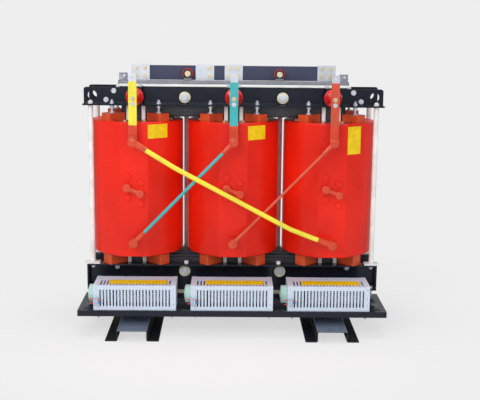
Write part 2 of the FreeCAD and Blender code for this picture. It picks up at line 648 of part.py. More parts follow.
def support_blocks():
    """Cast blocks at 45 degrees round each coil, cut off short of the yoke."""
    reach = "block_reach / sqrt(2)"
    side = "block_width / 2 / sqrt(2)"
    near_side = "core_depth / 2 + yoke_clearance"
    plan = [(f"{near_side} - 2 * {side}", f"-({near_side})"),
            (f"{near_side} + 2 * {side}", f"-({near_side})"),
            (f"{reach} + {side}", f"{side} - {reach}"), (f"{reach} - {side}", f"-{side} - {reach}")]
    rows = []
    for name, bottom, height in (("lower_blocks", "lower_clamp_top", "lower_block_height"),
                                 ("upper_blocks", "coil_top", "upper_block_height")):
        body = new_body(name + "_block")
        drawing = new_sketch(body, "XY_Plane", "plan", bottom)
        outline(drawing, plan)
        pad(body, drawing, height)
        middle = size[bottom] + size[height] / 2
        round_edges(body, name + "_edges", "block_edge", lambda p: near(p.z, middle))
        crossed = mirror(name + "_crossed", body, X_AXIS)
        ring = [body, crossed, mirror(name + "_behind", body, Y_AXIS),
                mirror(name + "_opposite", crossed, Y_AXIS)]
        around = group(name + "_ring", ring)
        copies = []
        for phase, centre in PHASES.items():
            copy = doc.addObject("Part::Compound", f"{name}_{phase}")
            copy.Links = [around]
            copy.setExpression(".Placement.Base.x", linked(centre))
            copies.append(copy)
        rows.append(group(name, copies))
    keep(group("support_blocks", rows), "support_blocks")


# Threaded fasteners

def hexagon(across_flats, height):
    """Hexagonal head or nut on the XY plane."""
    radius = across_flats / math.sqrt(3)
    angles = [math.radians(60 * corner) for corner in range(7)]
    points = [FreeCAD.Vector(radius * math.cos(angle), radius * math.sin(angle), 0) for angle in angles]
    return Part.Face(Part.makePolygon(points)).extrude(Z_AXIS * height)


def disc(radius, height, start=0.0):
    return Part.makeCylinder(radius, height, Z_AXIS * start)


def bolt(radius, grip, washer, tip=0.0, nut=True):
    """A bolt along Z from its head above 0 down through the grip, with washers and a nut below."""
    head = 1.3 * radius
    flats = 3 * radius
    ring = 0.4 * radius
    parts = [disc(radius, grip + head + ring, -grip - tip if not nut else -grip),
             disc(washer, ring), hexagon(flats, head).translated(Z_AXIS * ring)]
    if nut:
        below = -grip - ring
        parts += [disc(washer, ring, below), hexagon(flats, 1.6 * radius).translated(
            Z_AXIS * (below - 1.6 * radius)), disc(radius, ring + 1.6 * radius + tip,
                                                   below - 1.6 * radius - tip)]
    return parts[0].fuse(parts[1:]).removeSplitter()


def aimed(shape, direction, spot):
    """The shape with its Z turned to a direction and its origin moved to a spot."""
    turned = shape.copy()
    turned.Placement = FreeCAD.Placement(FreeCAD.Vector(*spot), FreeCAD.Rotation(Z_AXIS, direction))
    return turned


def core_bolts():
    """Four bolts through the clamps and yokes, each over an insulating washer at both ends."""
    bolts, washers = [], []
    inner = size["core_bolt_radius"] + size["boot_play"]
    wall = size["washer_wall"]
    for level, plate in (("upper_bolt_level", 0), ("lower_bolt_level", size["bolt_plate_wall"])):
        face = size["clamp_face"] + plate
        long_bolt = bolt(size["core_bolt_radius"], 2 * (face + wall), size["washer_radius"] * 0.68, 12)
        for side in (-1, 1):
            x = side * size["coil_pitch"] / 2
            bolts.append(aimed(long_bolt, -Y_AXIS, (x, -face - wall, size[level])))
            for start in (-face - wall, face):
                ring = disc(size["washer_radius"], wall).cut(disc(inner, wall))
                washers.append(aimed(ring, Y_AXIS, (x, start, size[level])))
    keep(formed("core_bolts", Part.makeCompound(bolts)), "core_bolts")
    keep(formed("core_bolt_washers", Part.makeCompound(washers)), "core_bolt_washers")


def block_studs():
    """Studs with nuts that hold each coil down through the lip of the upper clamps."""
    radius, nut = size["stud_radius"], 11.0
    foot = disc(2.2 * radius, 6)
    shaft = disc(radius, size["stud_gap"] + size["clamp_wall"] + size["stud_rise"])
    lock = disc(1.9 * radius, 2.5).fuse(hexagon(3.2 * radius, nut).translated(Z_AXIS * -nut))
    under = lock.translated(Z_AXIS * (size["stud_gap"] - 2.5))
    above = hexagon(3.2 * radius, nut).fuse(disc(1.9 * radius, 2.5)).translated(
        Z_AXIS * (size["stud_gap"] + size["clamp_wall"]))
    stud = shaft.fuse([foot, under, above]).removeSplitter()
    studs = []
    for centre in (-1, 0, 1):
        for side in (-1, 1):
            for depth in (-1, 1):
                x = centre * size["coil_pitch"] + side * size["stud_inset"]
                spot = FreeCAD.Vector(x, depth * size["stud_offset"], size["block_top"])
                studs.append(stud.translated(spot))
    keep(formed("block_studs", Part.makeCompound(studs)), "block_studs")


def tie_rods():
    """Rods in insulating tubes that pull the upper clamps down on the lower ones."""
    bottom, top = size["lower_clamp_top"], size["upper_clamp_bottom"]
    wall, radius = size["clamp_wall"], size["tie_radius"]
    nut = 1.6 * radius
    tube = disc(size["tie_tube_radius"], top - bottom, bottom)
    shank = disc(radius, top - bottom + 2 * wall + 2 * nut + 10, bottom - wall - nut - 5)
    nuts = [hexagon(3 * radius, nut).translated(Z_AXIS * (bottom - wall - nut)),
            hexagon(3 * radius, nut).translated(Z_AXIS * (top + wall))]
    rod_in_tube = shank.fuse(nuts + [tube]).removeSplitter()
    around = disc(size["tie_tube_radius"] + size["boot_play"], size["tie_cup_height"] + 2, bottom - 1)
    plate = Part.makeBox(size["tie_foot_length"], size["tie_foot_width"], size["tie_foot_wall"],
                         FreeCAD.Vector(-size["tie_foot_length"] / 2, -size["tie_foot_width"] / 2, bottom))
    plate = plate.cut(around)
    cup = Part.makeCone(size["tie_cup_radius"], size["tie_tube_radius"] + 4, size["tie_cup_height"],
                        Z_AXIS * bottom).cut(around)
    cap = disc(size["flange_cap_radius"], size["flange_cap_height"], bottom)
    rods, feet = [], []
    for side in (-1, 1):
        for depth in (-1, 1):
            spot = FreeCAD.Vector(side * size["tie_span"] / 2, depth * size["clamp_middle"], 0)
            rods.append(rod_in_tube.translated(spot))
            feet.append(plate.translated(spot))
        spot = FreeCAD.Vector(side * size["coil_pitch"] / 2, size["clamp_middle"], 0)
        rods.append(rod_in_tube.translated(spot))
        feet.append(cup.translated(spot))
        feet.append(cap.translated(FreeCAD.Vector(side * size["flange_cap_x"], -size["clamp_middle"], 0)))
    keep(formed("tie_rods", Part.makeCompound(rods)), "tie_rods")
    keep(formed("tie_rod_feet", Part.makeCompound(feet)), "tie_rod_feet")


def bar_screw(centre, drop):
    """Screw through a high-voltage bar and its sleeve into the insulator."""
    radius = size["bar_screw_radius"]
    grip = size["bar_wall"] + 2 * size["sleeve_wall"]
    screw = bolt(radius, grip, 2.4 * radius, 0, nut=False)
    spot = (centre * size["coil_pitch"], -size["bar_face"] - size["sleeve_wall"],
            size["insulator_level"] - drop)
    return aimed(screw, -Y_AXIS, spot)


def frame_bolts():
    """Bolts of the clamp ends, HV brackets, beams, rails and fan tray, and the bars' lower screws."""
    radius, wall = size["clamp_bolt_radius"], size["clamp_wall"]
    side_bolt = bolt(radius, wall, 1.8 * radius, 4)
    low, high = size["upper_clamp_bottom"], size["lower_clamp_bottom"]
    spots = [(size["clamp_bolt_outer"], low + size["clamp_bolt_low_rise"]),
             (size["clamp_bolt_inner"], low + size["clamp_bolt_high_rise"]),
             (size["lower_side_bolt"], high + size["lower_side_rise"])]
    bolts = []
    for side in (-1, 1):
        for x, z in spots:
            for depth in (-1, 1):
                bolts.append(aimed(side_bolt, Y_AXIS * depth, (side * x, depth * size["clamp_face"], z)))
    beam_bolt = bolt(radius, size["beam_wall"] + size["rail_wall"], 1.8 * radius, 3)
    for side in (-1, 1):
        for step in (-1, 1):
            for depth in (-1, 1):
                x = side * size["rail_gauge"] / 2 + step * size["rail_bolt_span"] / 2
                bolts.append(aimed(beam_bolt, Z_AXIS, (x, depth * size["clamp_middle"],
                                                       size["rail_height"] + size["beam_wall"])))
    cap_bolt = bolt(6, 0, 10, 0, nut=False)
    for centre in (-1, 0, 1):
        for step in (-1, 1):
            x = centre * size["coil_pitch"] + step * size["bracket_bolt_spread"]
            bolts.append(aimed(cap_bolt, Z_AXIS, (x, 6 - size["clamp_face"],
                                                  size["upper_clamp_top"] + size["bracket_wall"])))
    hanger_grip = size["lower_clamp_bottom"] + wall - size["tray_top"] + size["tray_wall"]
    hanger = bolt(size["hanger_radius"], hanger_grip, 2 * size["hanger_radius"], 12)
    screw = bolt(size["tray_screw_radius"], size["tray_wall"], 8, 0, nut=False)
    for side in (-1, 1):
        bolts.append(aimed(hanger, Z_AXIS, (side * size["hanger_span"] / 2, -size["clamp_middle"],
                                            size["lower_clamp_bottom"] + wall)))
    for centre in (-1, 0, 1):
        for step in (-1, 1):
            x = centre * size["fan_pitch"] - size["fan_shift"] + step * (size["fan_length"] / 2 - 20)
            bolts.append(aimed(screw, -Z_AXIS, (x, 12 - size["fan_front"],
                                                size["tray_top"] - size["tray_wall"])))
    for centre in (-1, 0, 1):
        bolts.append(bar_screw(centre, size["bar_screw_drop"]))
    keep(formed("frame_bolts", Part.makeCompound(bolts)), "frame_bolts")


# High-voltage side

def hv_brackets():
    """Folded brackets that stand on the clamp's lip, hooked over its top edge."""
    brackets = []
    for phase, centre in PHASES.items():
        body = new_body("hv_bracket_" + phase)
        profile = new_sketch(body, "YZ_Plane", "hook_profile")
        lip = "upper_clamp_bottom + clamp_wall"
        heel = "clamp_bend - clamp_wall + boot_play"
        outline(profile, [("-clamp_inner", "upper_clamp_top"),
                          ("-clamp_inner", "upper_clamp_top + bracket_wall"),
                          ("-bracket_front", "upper_clamp_top + bracket_wall"), ("-bracket_front", lip),
                          (f"-clamp_face - ({heel})", lip), ("-clamp_face", f"{lip} + {heel}"),
                          ("-clamp_face", f"{lip} + bracket_wall"),
                          ("bracket_wall - bracket_front", f"{lip} + bracket_wall"),
                          ("bracket_wall - bracket_front", "upper_clamp_top")])
        pad(body, profile, "bracket_width", both_ways=True)
        body.setExpression(".Placement.Base.x", linked(centre))
        brackets.append(body)
    keep(group("hv_brackets", brackets), "hv_brackets")


def hv_insulators():
    """Cast posts, wide at the bracket and tapering to the bar."""
    posts = []
    for phase, centre in PHASES.items():
        body = new_body("hv_insulator_" + phase)
        drawing = new_sketch(body, "XY_Plane", "half_section")
        outline(drawing, [("0", "0"), ("insulator_foot_radius", "0"),
                          ("insulator_foot_radius", "-insulator_length * 0.12"),
                          ("insulator_foot_radius * 0.86", "-insulator_length * 0.24"),
                          ("insulator_nose_radius + 4", "-insulator_length * 0.88"),
                          ("insulator_nose_radius", "-insulator_length * 0.96"),
                          ("insulator_nose_radius", "-insulator_length"), ("0", "-insulator_length")])
        turn = body.newObject("PartDesign::Revolution", "turned")
        turn.Profile = drawing
        turn.ReferenceAxis = (drawing, ["V_Axis"])
        turn.Angle = 360
        doc.recompute()
        body.setExpression(".Placement.Base.x", linked(centre))
        body.setExpression(".Placement.Base.y", linked("-bracket_front"))
        body.setExpression(".Placement.Base.z", linked("insulator_level"))
        posts.append(body)
    keep(group("hv_insulators", posts), "hv_insulators")


def hv_bar(phase, centre):
    """Flat bar from the coil's upper terminal to the line tab, in a coloured sleeve."""
    body = new_body("hv_bar_" + phase)
    drawing = new_sketch(body, "XZ_Plane", "front", "terminal_face")
    outline(drawing, [("-bar_width / 2", "high_terminal - bar_width / 2"),
                      ("bar_width / 2", "high_terminal - bar_width / 2"), ("bar_width / 2", "tab_top"),
                      ("-bar_width / 2", "tab_top")])
    pad(body, drawing, "bar_wall")
    round_edges(body, "tab_corners", "tab_corner",
                lambda p: near(p.z, size["tab_top"]) and near(abs(p.x), size["bar_width"] / 2))
    holes_through(body, "XZ_Plane", "holes",
                  [("0", "tab_top - bar_width / 2", "tab_hole_radius"),
                   ("0", "insulator_level", "bar_screw_radius + hole_play"),
                   ("0", "insulator_level - bar_screw_drop", "bar_screw_radius + hole_play")])
    body.setExpression(".Placement.Base.x", linked(centre))
    keep(body, "hv_bar_" + phase)
    half = "bar_width / 2"
    skin = block("sleeve_skin", (f"{centre} - {half} - sleeve_wall", f"{centre} + {half} + sleeve_wall"),
                 ("-bar_face - sleeve_wall", "sleeve_wall - terminal_face"), ("sleeve_bottom", "sleeve_top"))
    hollow = block("sleeve_hollow", (f"{centre} - {half}", f"{centre} + {half}"),
                   ("-bar_face", "-terminal_face"), ("sleeve_bottom - 1", "sleeve_top + 1"))
    bores = [rod("sleeve_bore", "bar_screw_radius + hole_play",
                 (centre, "-bar_face - sleeve_wall - 1", f"insulator_level - {drop}"), "y",
                 "bar_wall + 2 * sleeve_wall + 2") for drop in ("0", "bar_screw_drop")]
    keep(cut("hv_sleeve_" + phase, skin, [hollow] + bores), "hv_sleeve_" + phase)


def terminal(side, level, depth):
    """Point on a coil's terminal axis, at a rod's depth."""
    return FreeCAD.Vector(side * size["coil_pitch"], -depth, level)


def straight_rod(start, end, radius):
    return Part.makeCylinder(radius, (end - start).Length, start, end - start)


def bent_rod(points, radius, bend):
    """Round rod along straight runs joined by arcs of one radius."""
    edges, at = [], points[0]
    for before, corner, after in zip(points, points[1:], points[2:]):
        into, out = (corner - before).normalize(), (after - corner).normalize()
        turn = into.getAngle(out)
        set_back = bend * math.tan(turn / 2)
        first, last = corner - into * set_back, corner + out * set_back
        inward = (out - into).normalize()
        middle = corner + inward * (bend / math.cos(turn / 2) - bend)
        edges += [Part.LineSegment(at, first).toShape(), Part.Arc(first, middle, last).toShape()]
        at = last
    edges.append(Part.LineSegment(at, points[-1]).toShape())
    path = Part.Wire(edges)
    ring = Part.Wire([Part.makeCircle(radius, points[0], (points[1] - points[0]))])
    return path.makePipeShell([ring], True, False)


def delta_rods():
    """Insulated copper rods that link the upper and lower terminals into a delta."""
    high, low = size["high_terminal"], size["low_terminal"]
    front, back = size["front_rod_depth"], size["back_rod_depth"]
    bend = size["yellow_bend_radius"]
    yellow_path = [terminal(-1, high, front),
                   FreeCAD.Vector(-size["yellow_bend_left"], -front, size["yellow_bend_left_level"]),
                   FreeCAD.Vector(size["yellow_bend_right"], -front, size["yellow_bend_right_level"]),
                   terminal(1, low, front)]
    paths = {"yellow": yellow_path,
             "green": [terminal(0, high, back), terminal(-1, low, back)],
             "red": [terminal(1, high, back), terminal(0, low, back)]}
    boots = []
    for colour, path in paths.items():
        radius = size[colour + "_rod_radius"]
        bar = bent_rod(path, radius, bend) if len(path) > 2 else straight_rod(*path, radius)
        keep(formed("delta_rod_" + colour, bar), "delta_rod_" + colour)
        boots.append(terminal_boot(path[0], path[1], radius, bar, True))
        boots.append(terminal_boot(path[-1], path[-2], radius, bar, False))
    keep(formed("heat_shrink_boots", Part.makeCompound(boots)), "heat_shrink_boots")


def terminal_boot(start, towards, radius, bar, at_top):
    """Moulded boot over a terminal, with a sleeve along the rod and, at the top, one up the bar."""
    play, wall = size["boot_play"], size["rod_boot_wall"]
    front = -start.y + radius + wall
    cap = Part.makeCylinder(size["boot_radius"], front - size["coil_front"] - play,
                            FreeCAD.Vector(start.x, -front, start.z), Y_AXIS)
    along = (towards - start).normalize()
    collar = Part.makeCone(radius + 1.6 * wall, radius + wall, size["rod_boot_length"], start, along)
    solid = cap.fuse(collar)
    boss = Part.makeCylinder(size["terminal_radius"] + play, size["terminal_stand"] + play,
                             FreeCAD.Vector(start.x, -size["terminal_face"], start.z), Y_AXIS)
    tools = [boss, bar]
    if at_top:
        half, cover = size["bar_width"] / 2, size["boot_wall"]
        height = size["sleeve_bottom"] - start.z
        depth = size["bar_wall"] + 2 * cover
        solid = solid.fuse(Part.makeBox(2 * half + 2 * cover, depth, height, FreeCAD.Vector(
            start.x - half - cover, -size["bar_face"] - cover, start.z)))
        tools.append(Part.makeBox(2 * half, size["bar_wall"], height + half + 1, FreeCAD.Vector(
            start.x - half, -size["bar_face"], start.z - half)))
    return solid.cut(tools).removeSplitter()


def tap_links():
    """Insulated links that join one left and one right tap boss on each coil."""
    links = []
    face = size["coil_front"] + size["tap_stand"]
    level = size["coil_bottom"] + size["tap_level"]
    front = size["coil_front"] + size["tap_link_stand"]
    half, rise = size["tap_spacing"] / 2, size["tap_shift"] / 2
    for centre in (-1, 0, 1):
        middle = centre * size["coil_pitch"]
        ends = [FreeCAD.Vector(middle - half, -face, level + rise),
                FreeCAD.Vector(middle + half, -face, level - rise)]
        caps = [Part.makeCylinder(size["tap_link_radius"], front - face, end, -Y_AXIS) for end in ends]
        inset = Y_AXIS * (face - front + size["tap_rod_radius"] + 1)
        bar = straight_rod(ends[0] + inset, ends[1] + inset, size["tap_rod_radius"])
        link = caps[0].fuse([caps[1], bar]).removeSplitter()
        rims = [edge for edge in link.Edges if near(edge.CenterOfMass.y, -front) and edge.isClosed()]
        links.append(link.makeFillet(size["tap_rim"], rims))
    keep(formed("tap_links", Part.makeCompound(links)), "tap_links")


# Low-voltage side

def lv_leads():
    """Flat leads from the low-voltage coils, joggled round the clamp to their terminal plates."""
    joggle = "lead_bend_level + lv_plane - lead_foot"
    for phase, centre in PHASES.items():
        body = new_body("lv_lead_" + phase)
        profile = new_sketch(body, "YZ_Plane", "joggle_profile")
        outline(profile, [("lead_foot", "coil_top"), ("lead_foot + lead_wall", "coil_top"),
                          ("lead_foot + lead_wall", "lead_bend_level - lead_wall / 2"),
                          ("lead_back", f"{joggle} - lead_wall / 2"), ("lead_back", "lead_top"),
                          ("lv_plane", "lead_top"), ("lv_plane", joggle), ("lead_foot", "lead_bend_level")])
        pad(body, profile, "lead_width", both_ways=True)
        bores = [(f"{side} * plate_bolt_x", f"lead_top - plate_height / 2 + {step} * plate_bolt_z",
                  "plate_bolt_radius + hole_play") for side in ("-1", "1") for step in ("-1", "1")]
        holes_through(body, "XZ_Plane", "plate_holes", bores)
        body.setExpression(".Placement.Base.x", linked(centre))
        keep(body, "lv_lead_" + phase)


def lv_neutral():
    """Star bar that joins the coils' inner ends, with a riser to the neutral plate."""
    body = new_body("neutral_flat")
    drawing = new_sketch(body, "XZ_Plane", "flat", "-lead_back")
    end = "coil_pitch + neutral_foot_x + neutral_foot_width / 2"
    start = "neutral_foot_x - neutral_foot_width / 2 - coil_pitch"
    bar_top = "neutral_bar_level + neutral_bar_height"
    left, right = "-neutral_x - neutral_width / 2", "neutral_width / 2 - neutral_x"
    outline(drawing, [(start, "neutral_bar_level"), (end, "neutral_bar_level"), (end, bar_top),
                      (right, bar_top), (right, "lead_top"), (left, "lead_top"), (left, bar_top),
                      (start, bar_top)])
    pad(body, drawing, "lead_wall")
    holes_through(body, "XZ_Plane", "plate_holes",
                  [("plate_bolt_x - neutral_x", f"lead_top - plate_height / 2 + {step} * plate_bolt_z",
                    "plate_bolt_radius + hole_play") for step in ("-1", "1")])
    straps = []
    for centre in PHASES.values():
        across = (f"{centre} + neutral_foot_x - neutral_foot_width / 2",
                  f"{centre} + neutral_foot_x + neutral_foot_width / 2")
        straps.append(block("neutral_foot", across, ("neutral_foot_y", "neutral_foot_y + lead_wall"),
                            ("coil_top", "neutral_bar_level + lead_wall")))
        straps.append(block("neutral_strap", across, ("neutral_foot_y", "lv_plane"),
                            ("neutral_bar_level", "neutral_bar_level + lead_wall")))
    keep(fuse("lv_neutral_bar", [body] + straps), "lv_neutral_bar")


def lv_support():
    """Board behind the terminal plates, on a folded bar that is bolted to the rear clamp."""
    half, top = "board_length / 2", "board_bottom + board_height"
    board = block("board_blank", (f"-{half}", half), ("lead_back", "lead_back + board_wall"),
                  ("board_bottom", top))
    bores = []
    for centre in PHASES.values():
        for side in ("-1", "1"):
            for step in ("-1", "1"):
                bores.append((f"{centre} + {side} * plate_bolt_x",
                              f"lead_top - plate_height / 2 + {step} * plate_bolt_z"))
    for step in ("-1", "1"):
        bores.append(("plate_bolt_x - neutral_x", f"lead_top - plate_height / 2 + {step} * plate_bolt_z"))
    tools = [rod("board_bore", "plate_bolt_radius + hole_play", (x, "lead_back - 1", z), "y",
                 "board_wall + 2") for x, z in bores]
    keep(cut("lv_board", board, tools), "lv_board")
    body = new_body("lv_angle")
    profile = new_sketch(body, "YZ_Plane", "angle_profile")
    outline(profile, [("clamp_inner", "upper_clamp_top"), ("clamp_face", "upper_clamp_top"),
                      ("clamp_face", "support_bar_level"),
                      ("support_bar_front", "support_bar_level"),
                      ("support_bar_front", "support_bar_level + support_bar_height"),
                      ("clamp_inner", "support_bar_level + support_bar_height")])
    pad(body, profile, "support_bar_length", both_ways=True)
    bar_top = "support_bar_level + support_bar_height"
    back = "support_bar_front - lug_wall"
    tongues, lugs = [], []
    for side in ("-1", "1"):
        middle = f"{side} * post_span / 2"
        along = (f"{middle} - tongue_width / 2", f"{middle} + tongue_width / 2")
        tongues.append(block("post_tongue", along, (f"{back} - tongue_wall", back),
                             (f"{bar_top} - 1", f"{bar_top} + tongue_height")))
        foot = block("lug_foot", (f"{middle} - lug_foot_width / 2", f"{middle} + lug_foot_width / 2"),
                     (back, "support_bar_front"), (bar_top, "post_level"))
        head = rod("lug_head", "lug_radius", (middle, back, "post_level"), "y", "lug_wall")
        lugs.append(fuse("post_lug", [foot, head]))
    keep(fuse("lv_support_bar", [body] + tongues), "lv_support_bar")
    keep(group("lv_post_lugs", lugs), "lv_post_lugs")
    posts = [rod("lv_post", "post_radius", (f"{side} * post_span / 2", "support_bar_front", "post_level"),
                 "y", "lead_back - support_bar_front") for side in ("-1", "1")]
    keep(group("lv_post_insulators", posts), "lv_post_insulators")


def terminal_bolts():
    """Brass bolts of the terminal plates, bolts of the posts and upper screws of the HV bars."""
    bolts = []
    plate_bolt = bolt(size["plate_bolt_radius"], size["lead_wall"] + size["board_wall"],
                      2 * size["plate_bolt_radius"], 4)
    middle = size["lead_top"] - size["plate_height"] / 2
    places = [centre * size["coil_pitch"] + side * size["plate_bolt_x"] for centre in (-1, 0, 1)
              for side in (-1, 1)]
    places.append(size["plate_bolt_x"] - size["neutral_x"])
    for x in places:
        for step in (-1, 1):
            bolts.append(aimed(plate_bolt, -Y_AXIS, (x, size["lv_plane"],
                                                     middle + step * size["plate_bolt_z"])))
    post_bolt = bolt(8, 0, 17, 0, nut=False)
    lug_front = size["support_bar_front"] - size["lug_wall"]
    for side in (-1, 1):
        bolts.append(aimed(post_bolt, -Y_AXIS, (side * size["post_span"] / 2, lug_front, size["post_level"])))
    for centre in (-1, 0, 1):
        bolts.append(bar_screw(centre, 0))
    keep(formed("terminal_bolts", Part.makeCompound(bolts)), "terminal_bolts")


# Fans

def fan_tray():
    """Frame of folded angle that hangs from the lower clamps and carries the fans."""
    end = "tray_length / 2"
    top, under = "tray_top", "tray_top - tray_wall"
    bottom = "tray_top - tray_height"
    bars = [block("front_skirt", (f"-{end}", end), ("-tray_front", "tray_wall - tray_front"), (bottom, top)),
            block("front_lip", (f"-{end}", end), ("-tray_front", "tray_flange - tray_front"), (under, top)),
            block("middle_lip", (f"-{end}", end), ("-tray_middle", "tray_flange - tray_middle"),
                  (under, top)),
            block("rear_lip", (f"-{end}", end), ("-clamp_edge - tray_flange", "-clamp_edge"), (under, top)),
            block("rear_skirt", (f"-{end}", end), ("-clamp_edge - tray_wall", "-clamp_edge"), (bottom, top))]
    for low, high, lip_low, lip_high in ((f"-{end}", f"tray_wall - {end}", f"-{end}", f"tray_flange - {end}"),
                                         (f"{end} - tray_wall", end, f"{end} - tray_flange", end)):
        bars.append(block("side_skirt", (low, high), ("-tray_front", "-tray_back"), (bottom, top)))
        bars.append(block("side_lip", (lip_low, lip_high), ("-tray_front", "-tray_back"), (under, top)))
    blank = fuse("tray_blank", bars)
    tools = [rod("tray_hanger_bore", "hanger_radius + hole_play",
                 (f"{side} * hanger_span / 2", "-clamp_middle", f"{under} - 1"), "z", "tray_wall + 2")
             for side in ("-1", "1")]
    for centre in FANS.values():
        for side in ("-1", "1"):
            tools.append(rod("tray_screw_bore", "tray_screw_radius + hole_play",
                             (f"{centre} + {side} * (fan_length / 2 - 20)", "12 - fan_front", f"{under} - 1"),
                             "z", "tray_wall + 2"))
    keep(cut("fan_tray", blank, tools), "fan_tray")


def fan_housing(name, centre):
    """Folded sheet box with a slotted front and top, bored for the impeller's shaft."""
    half, wall = "fan_length / 2", "fan_wall"
    front, rear = "-fan_front", "fan_depth - fan_front"
    low, high = "fan_bottom", "fan_bottom + fan_height"
    box = block(name + "_box", (f"-{half}", half), (front, rear), (low, high))
    proud = ((f"{front} - end_cap_stand", rear), (low, f"{high} + end_cap_stand"))
    caps = [block(name + "_left_cap", (f"-{half}", f"end_cap_length - {half}"), *proud),
            block(name + "_right_cap", (f"{half} - end_cap_length", half), *proud)]
    shell = fuse(name + "_shell", [box] + caps)
    bay = block(name + "_bay", (f"{wall} - {half}", f"motor_bay - {half}"),
                (f"{front} + {wall}", f"{rear} - {wall}"), (f"{low} + {wall}", f"{high} - {wall}"))
    room = block(name + "_room", (f"motor_bay + {wall} - {half}", f"{half} - {wall}"),
                 (f"{front} + {wall}", f"{rear} - {wall}"), (f"{low} + {wall}", f"{high} - {wall}"))
    shaft = rod(name + "_bore", "shaft_radius + shaft_play",
                (f"motor_bay - {half} - 1", "fan_axis_y", "fan_axis_z"), "x", "fan_length")
    motor_hole = rod(name + "_motor_hole", "motor_radius + shaft_play",
                     (f"-{half} - 1", "fan_axis_y", "fan_axis_z"), "x", f"{wall} + 2")
    hollow = cut(name + "_hollow", shell, [bay, room, shaft, motor_hole])
    slots = fan_slots()
    case = doc.addObject("Part::Cut", name)
    case.Base = hollow
    case.Tool = slots
    case.setExpression(".Placement.Base.x", linked(centre))
    keep(case, name)


slot_sets = []


def fan_slots():
    """All the air slots of one fan, in the front and in the top, and the holes of its end caps."""
    if slot_sets:
        return slot_sets[0]
    cutters = []
    left = -size["fan_length"] / 2
    front, top = -size["fan_front"], size["fan_bottom"] + size["fan_height"]
    wall, width = size["fan_wall"], size["slot_width"]
    for number in range(int(size["slot_count"])):
        start = left + size["first_slot"] - width / 2 + size["slot_pitch"] * number
        cutters.append(Part.makeBox(width, wall + 2, size["slot_height"], FreeCAD.Vector(
            start, front - 1, size["fan_bottom"] + size["slot_rise"])))
        cutters.append(Part.makeBox(width, size["top_slot_length"], wall + 2, FreeCAD.Vector(
            start, front + size["top_slot_set"], top - wall - 1)))
    cap_middle = size["fan_length"] / 2 - size["end_cap_length"] / 2
    for side in (-1, 1):
        for share in (0.25, 0.5, 0.87):
            cutters.append(Part.makeCylinder(size["cap_hole_radius"], wall + 4, FreeCAD.Vector(
                side * cap_middle, front - 3, size["fan_bottom"] + share * size["fan_height"]), Y_AXIS))
    slot_sets.append(formed("fan_slots", Part.makeCompound(cutters)))
    return slot_sets[0]


def fan_impeller(name, centre):
    """Cross-flow drum: curved blades between end discs, on a shaft that runs in the end walls."""
    length = size["fan_length"] - size["motor_bay"] - 2 * size["fan_wall"]
    start = size["motor_bay"] + size["fan_wall"] - size["fan_length"] / 2
    gap, plate = size["impeller_gap"], size["impeller_disc"]
    outer, depth = size["impeller_radius"], size["blade_depth"]
    drum = length - 2 * gap
    pieces_of_drum = []
    for place_x in (0.0, (drum - plate) / 2, drum - plate):
        ring = disc(outer - 1, plate, place_x).cut(disc(outer - depth - 4, plate, place_x))
        web = disc(size["impeller_hub"], plate, place_x)
        spokes = [Part.makeBox(2 * (outer - depth), 8, plate, FreeCAD.Vector(depth - outer, -4, place_x))]
        spokes.append(spokes[0].copy().rotate(FreeCAD.Vector(), Z_AXIS, 60))
        spokes.append(spokes[0].copy().rotate(FreeCAD.Vector(), Z_AXIS, 120))
        pieces_of_drum += [ring, web] + spokes
    bow, thick = size["blade_bow"], size["blade_wall"]
    inner_end, outer_end = FreeCAD.Vector(outer - depth, 0, 0), FreeCAD.Vector(outer, 0, 0)
    middle = FreeCAD.Vector(outer - depth / 2, bow, 0)
    lift = FreeCAD.Vector(0, thick, 0)
    edges = [Part.Arc(inner_end, middle, outer_end).toShape(),
             Part.LineSegment(outer_end, outer_end + lift).toShape(),
             Part.Arc(outer_end + lift, middle + lift, inner_end + lift).toShape(),
             Part.LineSegment(inner_end + lift, inner_end).toShape()]
    blade = Part.Face(Part.Wire(edges)).extrude(Z_AXIS * drum)
    count = int(size["blade_count"])
    for number in range(count):
        turned = blade.copy()
        turned.rotate(FreeCAD.Vector(), Z_AXIS, 360 * number / count)
        pieces_of_drum.append(turned)
    reach = gap + size["fan_wall"] + size["motor_gap"]
    shaft = disc(size["shaft_radius"], drum + gap + reach + size["fan_wall"], -reach)
    drum_solid = shaft.fuse(pieces_of_drum).removeSplitter()
    drum_solid = aimed(drum_solid, X_AXIS, (start + gap, size["fan_axis_y"], size["fan_axis_z"]))
    feature = formed(name, drum_solid)
    feature.Placement = drum_solid.Placement
    drum_start = f"{centre} + motor_bay + fan_wall + impeller_gap - fan_length / 2"
    feature.setExpression(".Placement.Base.x", linked(drum_start))
    keep(feature, name)


def fan_motors():
    """Motors that fill the bay at the left end of each fan and stand proud of it."""
    motors = []
    for phase, centre in FANS.items():
        motors.append(rod("fan_motor_" + phase, "motor_radius",
                          (f"{centre} - fan_length / 2 - motor_proud", "fan_axis_y", "fan_axis_z"), "x",
                          "motor_proud + motor_bay - motor_gap"))
    keep(group("fan_motors", motors), "fan_motors")


def check_objects():
    """Stops if any object failed or any piece is empty or not valid."""
    for item in doc.Objects:
        if "Invalid" in item.State or "Error" in item.State:
            raise ValueError(f"{item.Label}: {item.State}")
    for piece in pieces:
        if piece.Shape.isNull() or not piece.Shape.isValid() or not piece.Shape.Solids:
            raise ValueError(f"{piece.Label} has no valid solid")


def export():
    """Writes each piece to its own file and prints its volume."""
    os.makedirs("parts", exist_ok=True)
    for piece in pieces:
        piece.Shape.exportStep(os.path.join("parts", piece.Label + ".step"))
        print(f"{piece.Label}: {len(piece.Shape.Solids)} solids, {piece.Shape.Volume / 1e6:.2f} litres")


fill_sheet()
size = {name: float(sheet.get(name)) for name in list(SIZES) + list(LEVELS)}

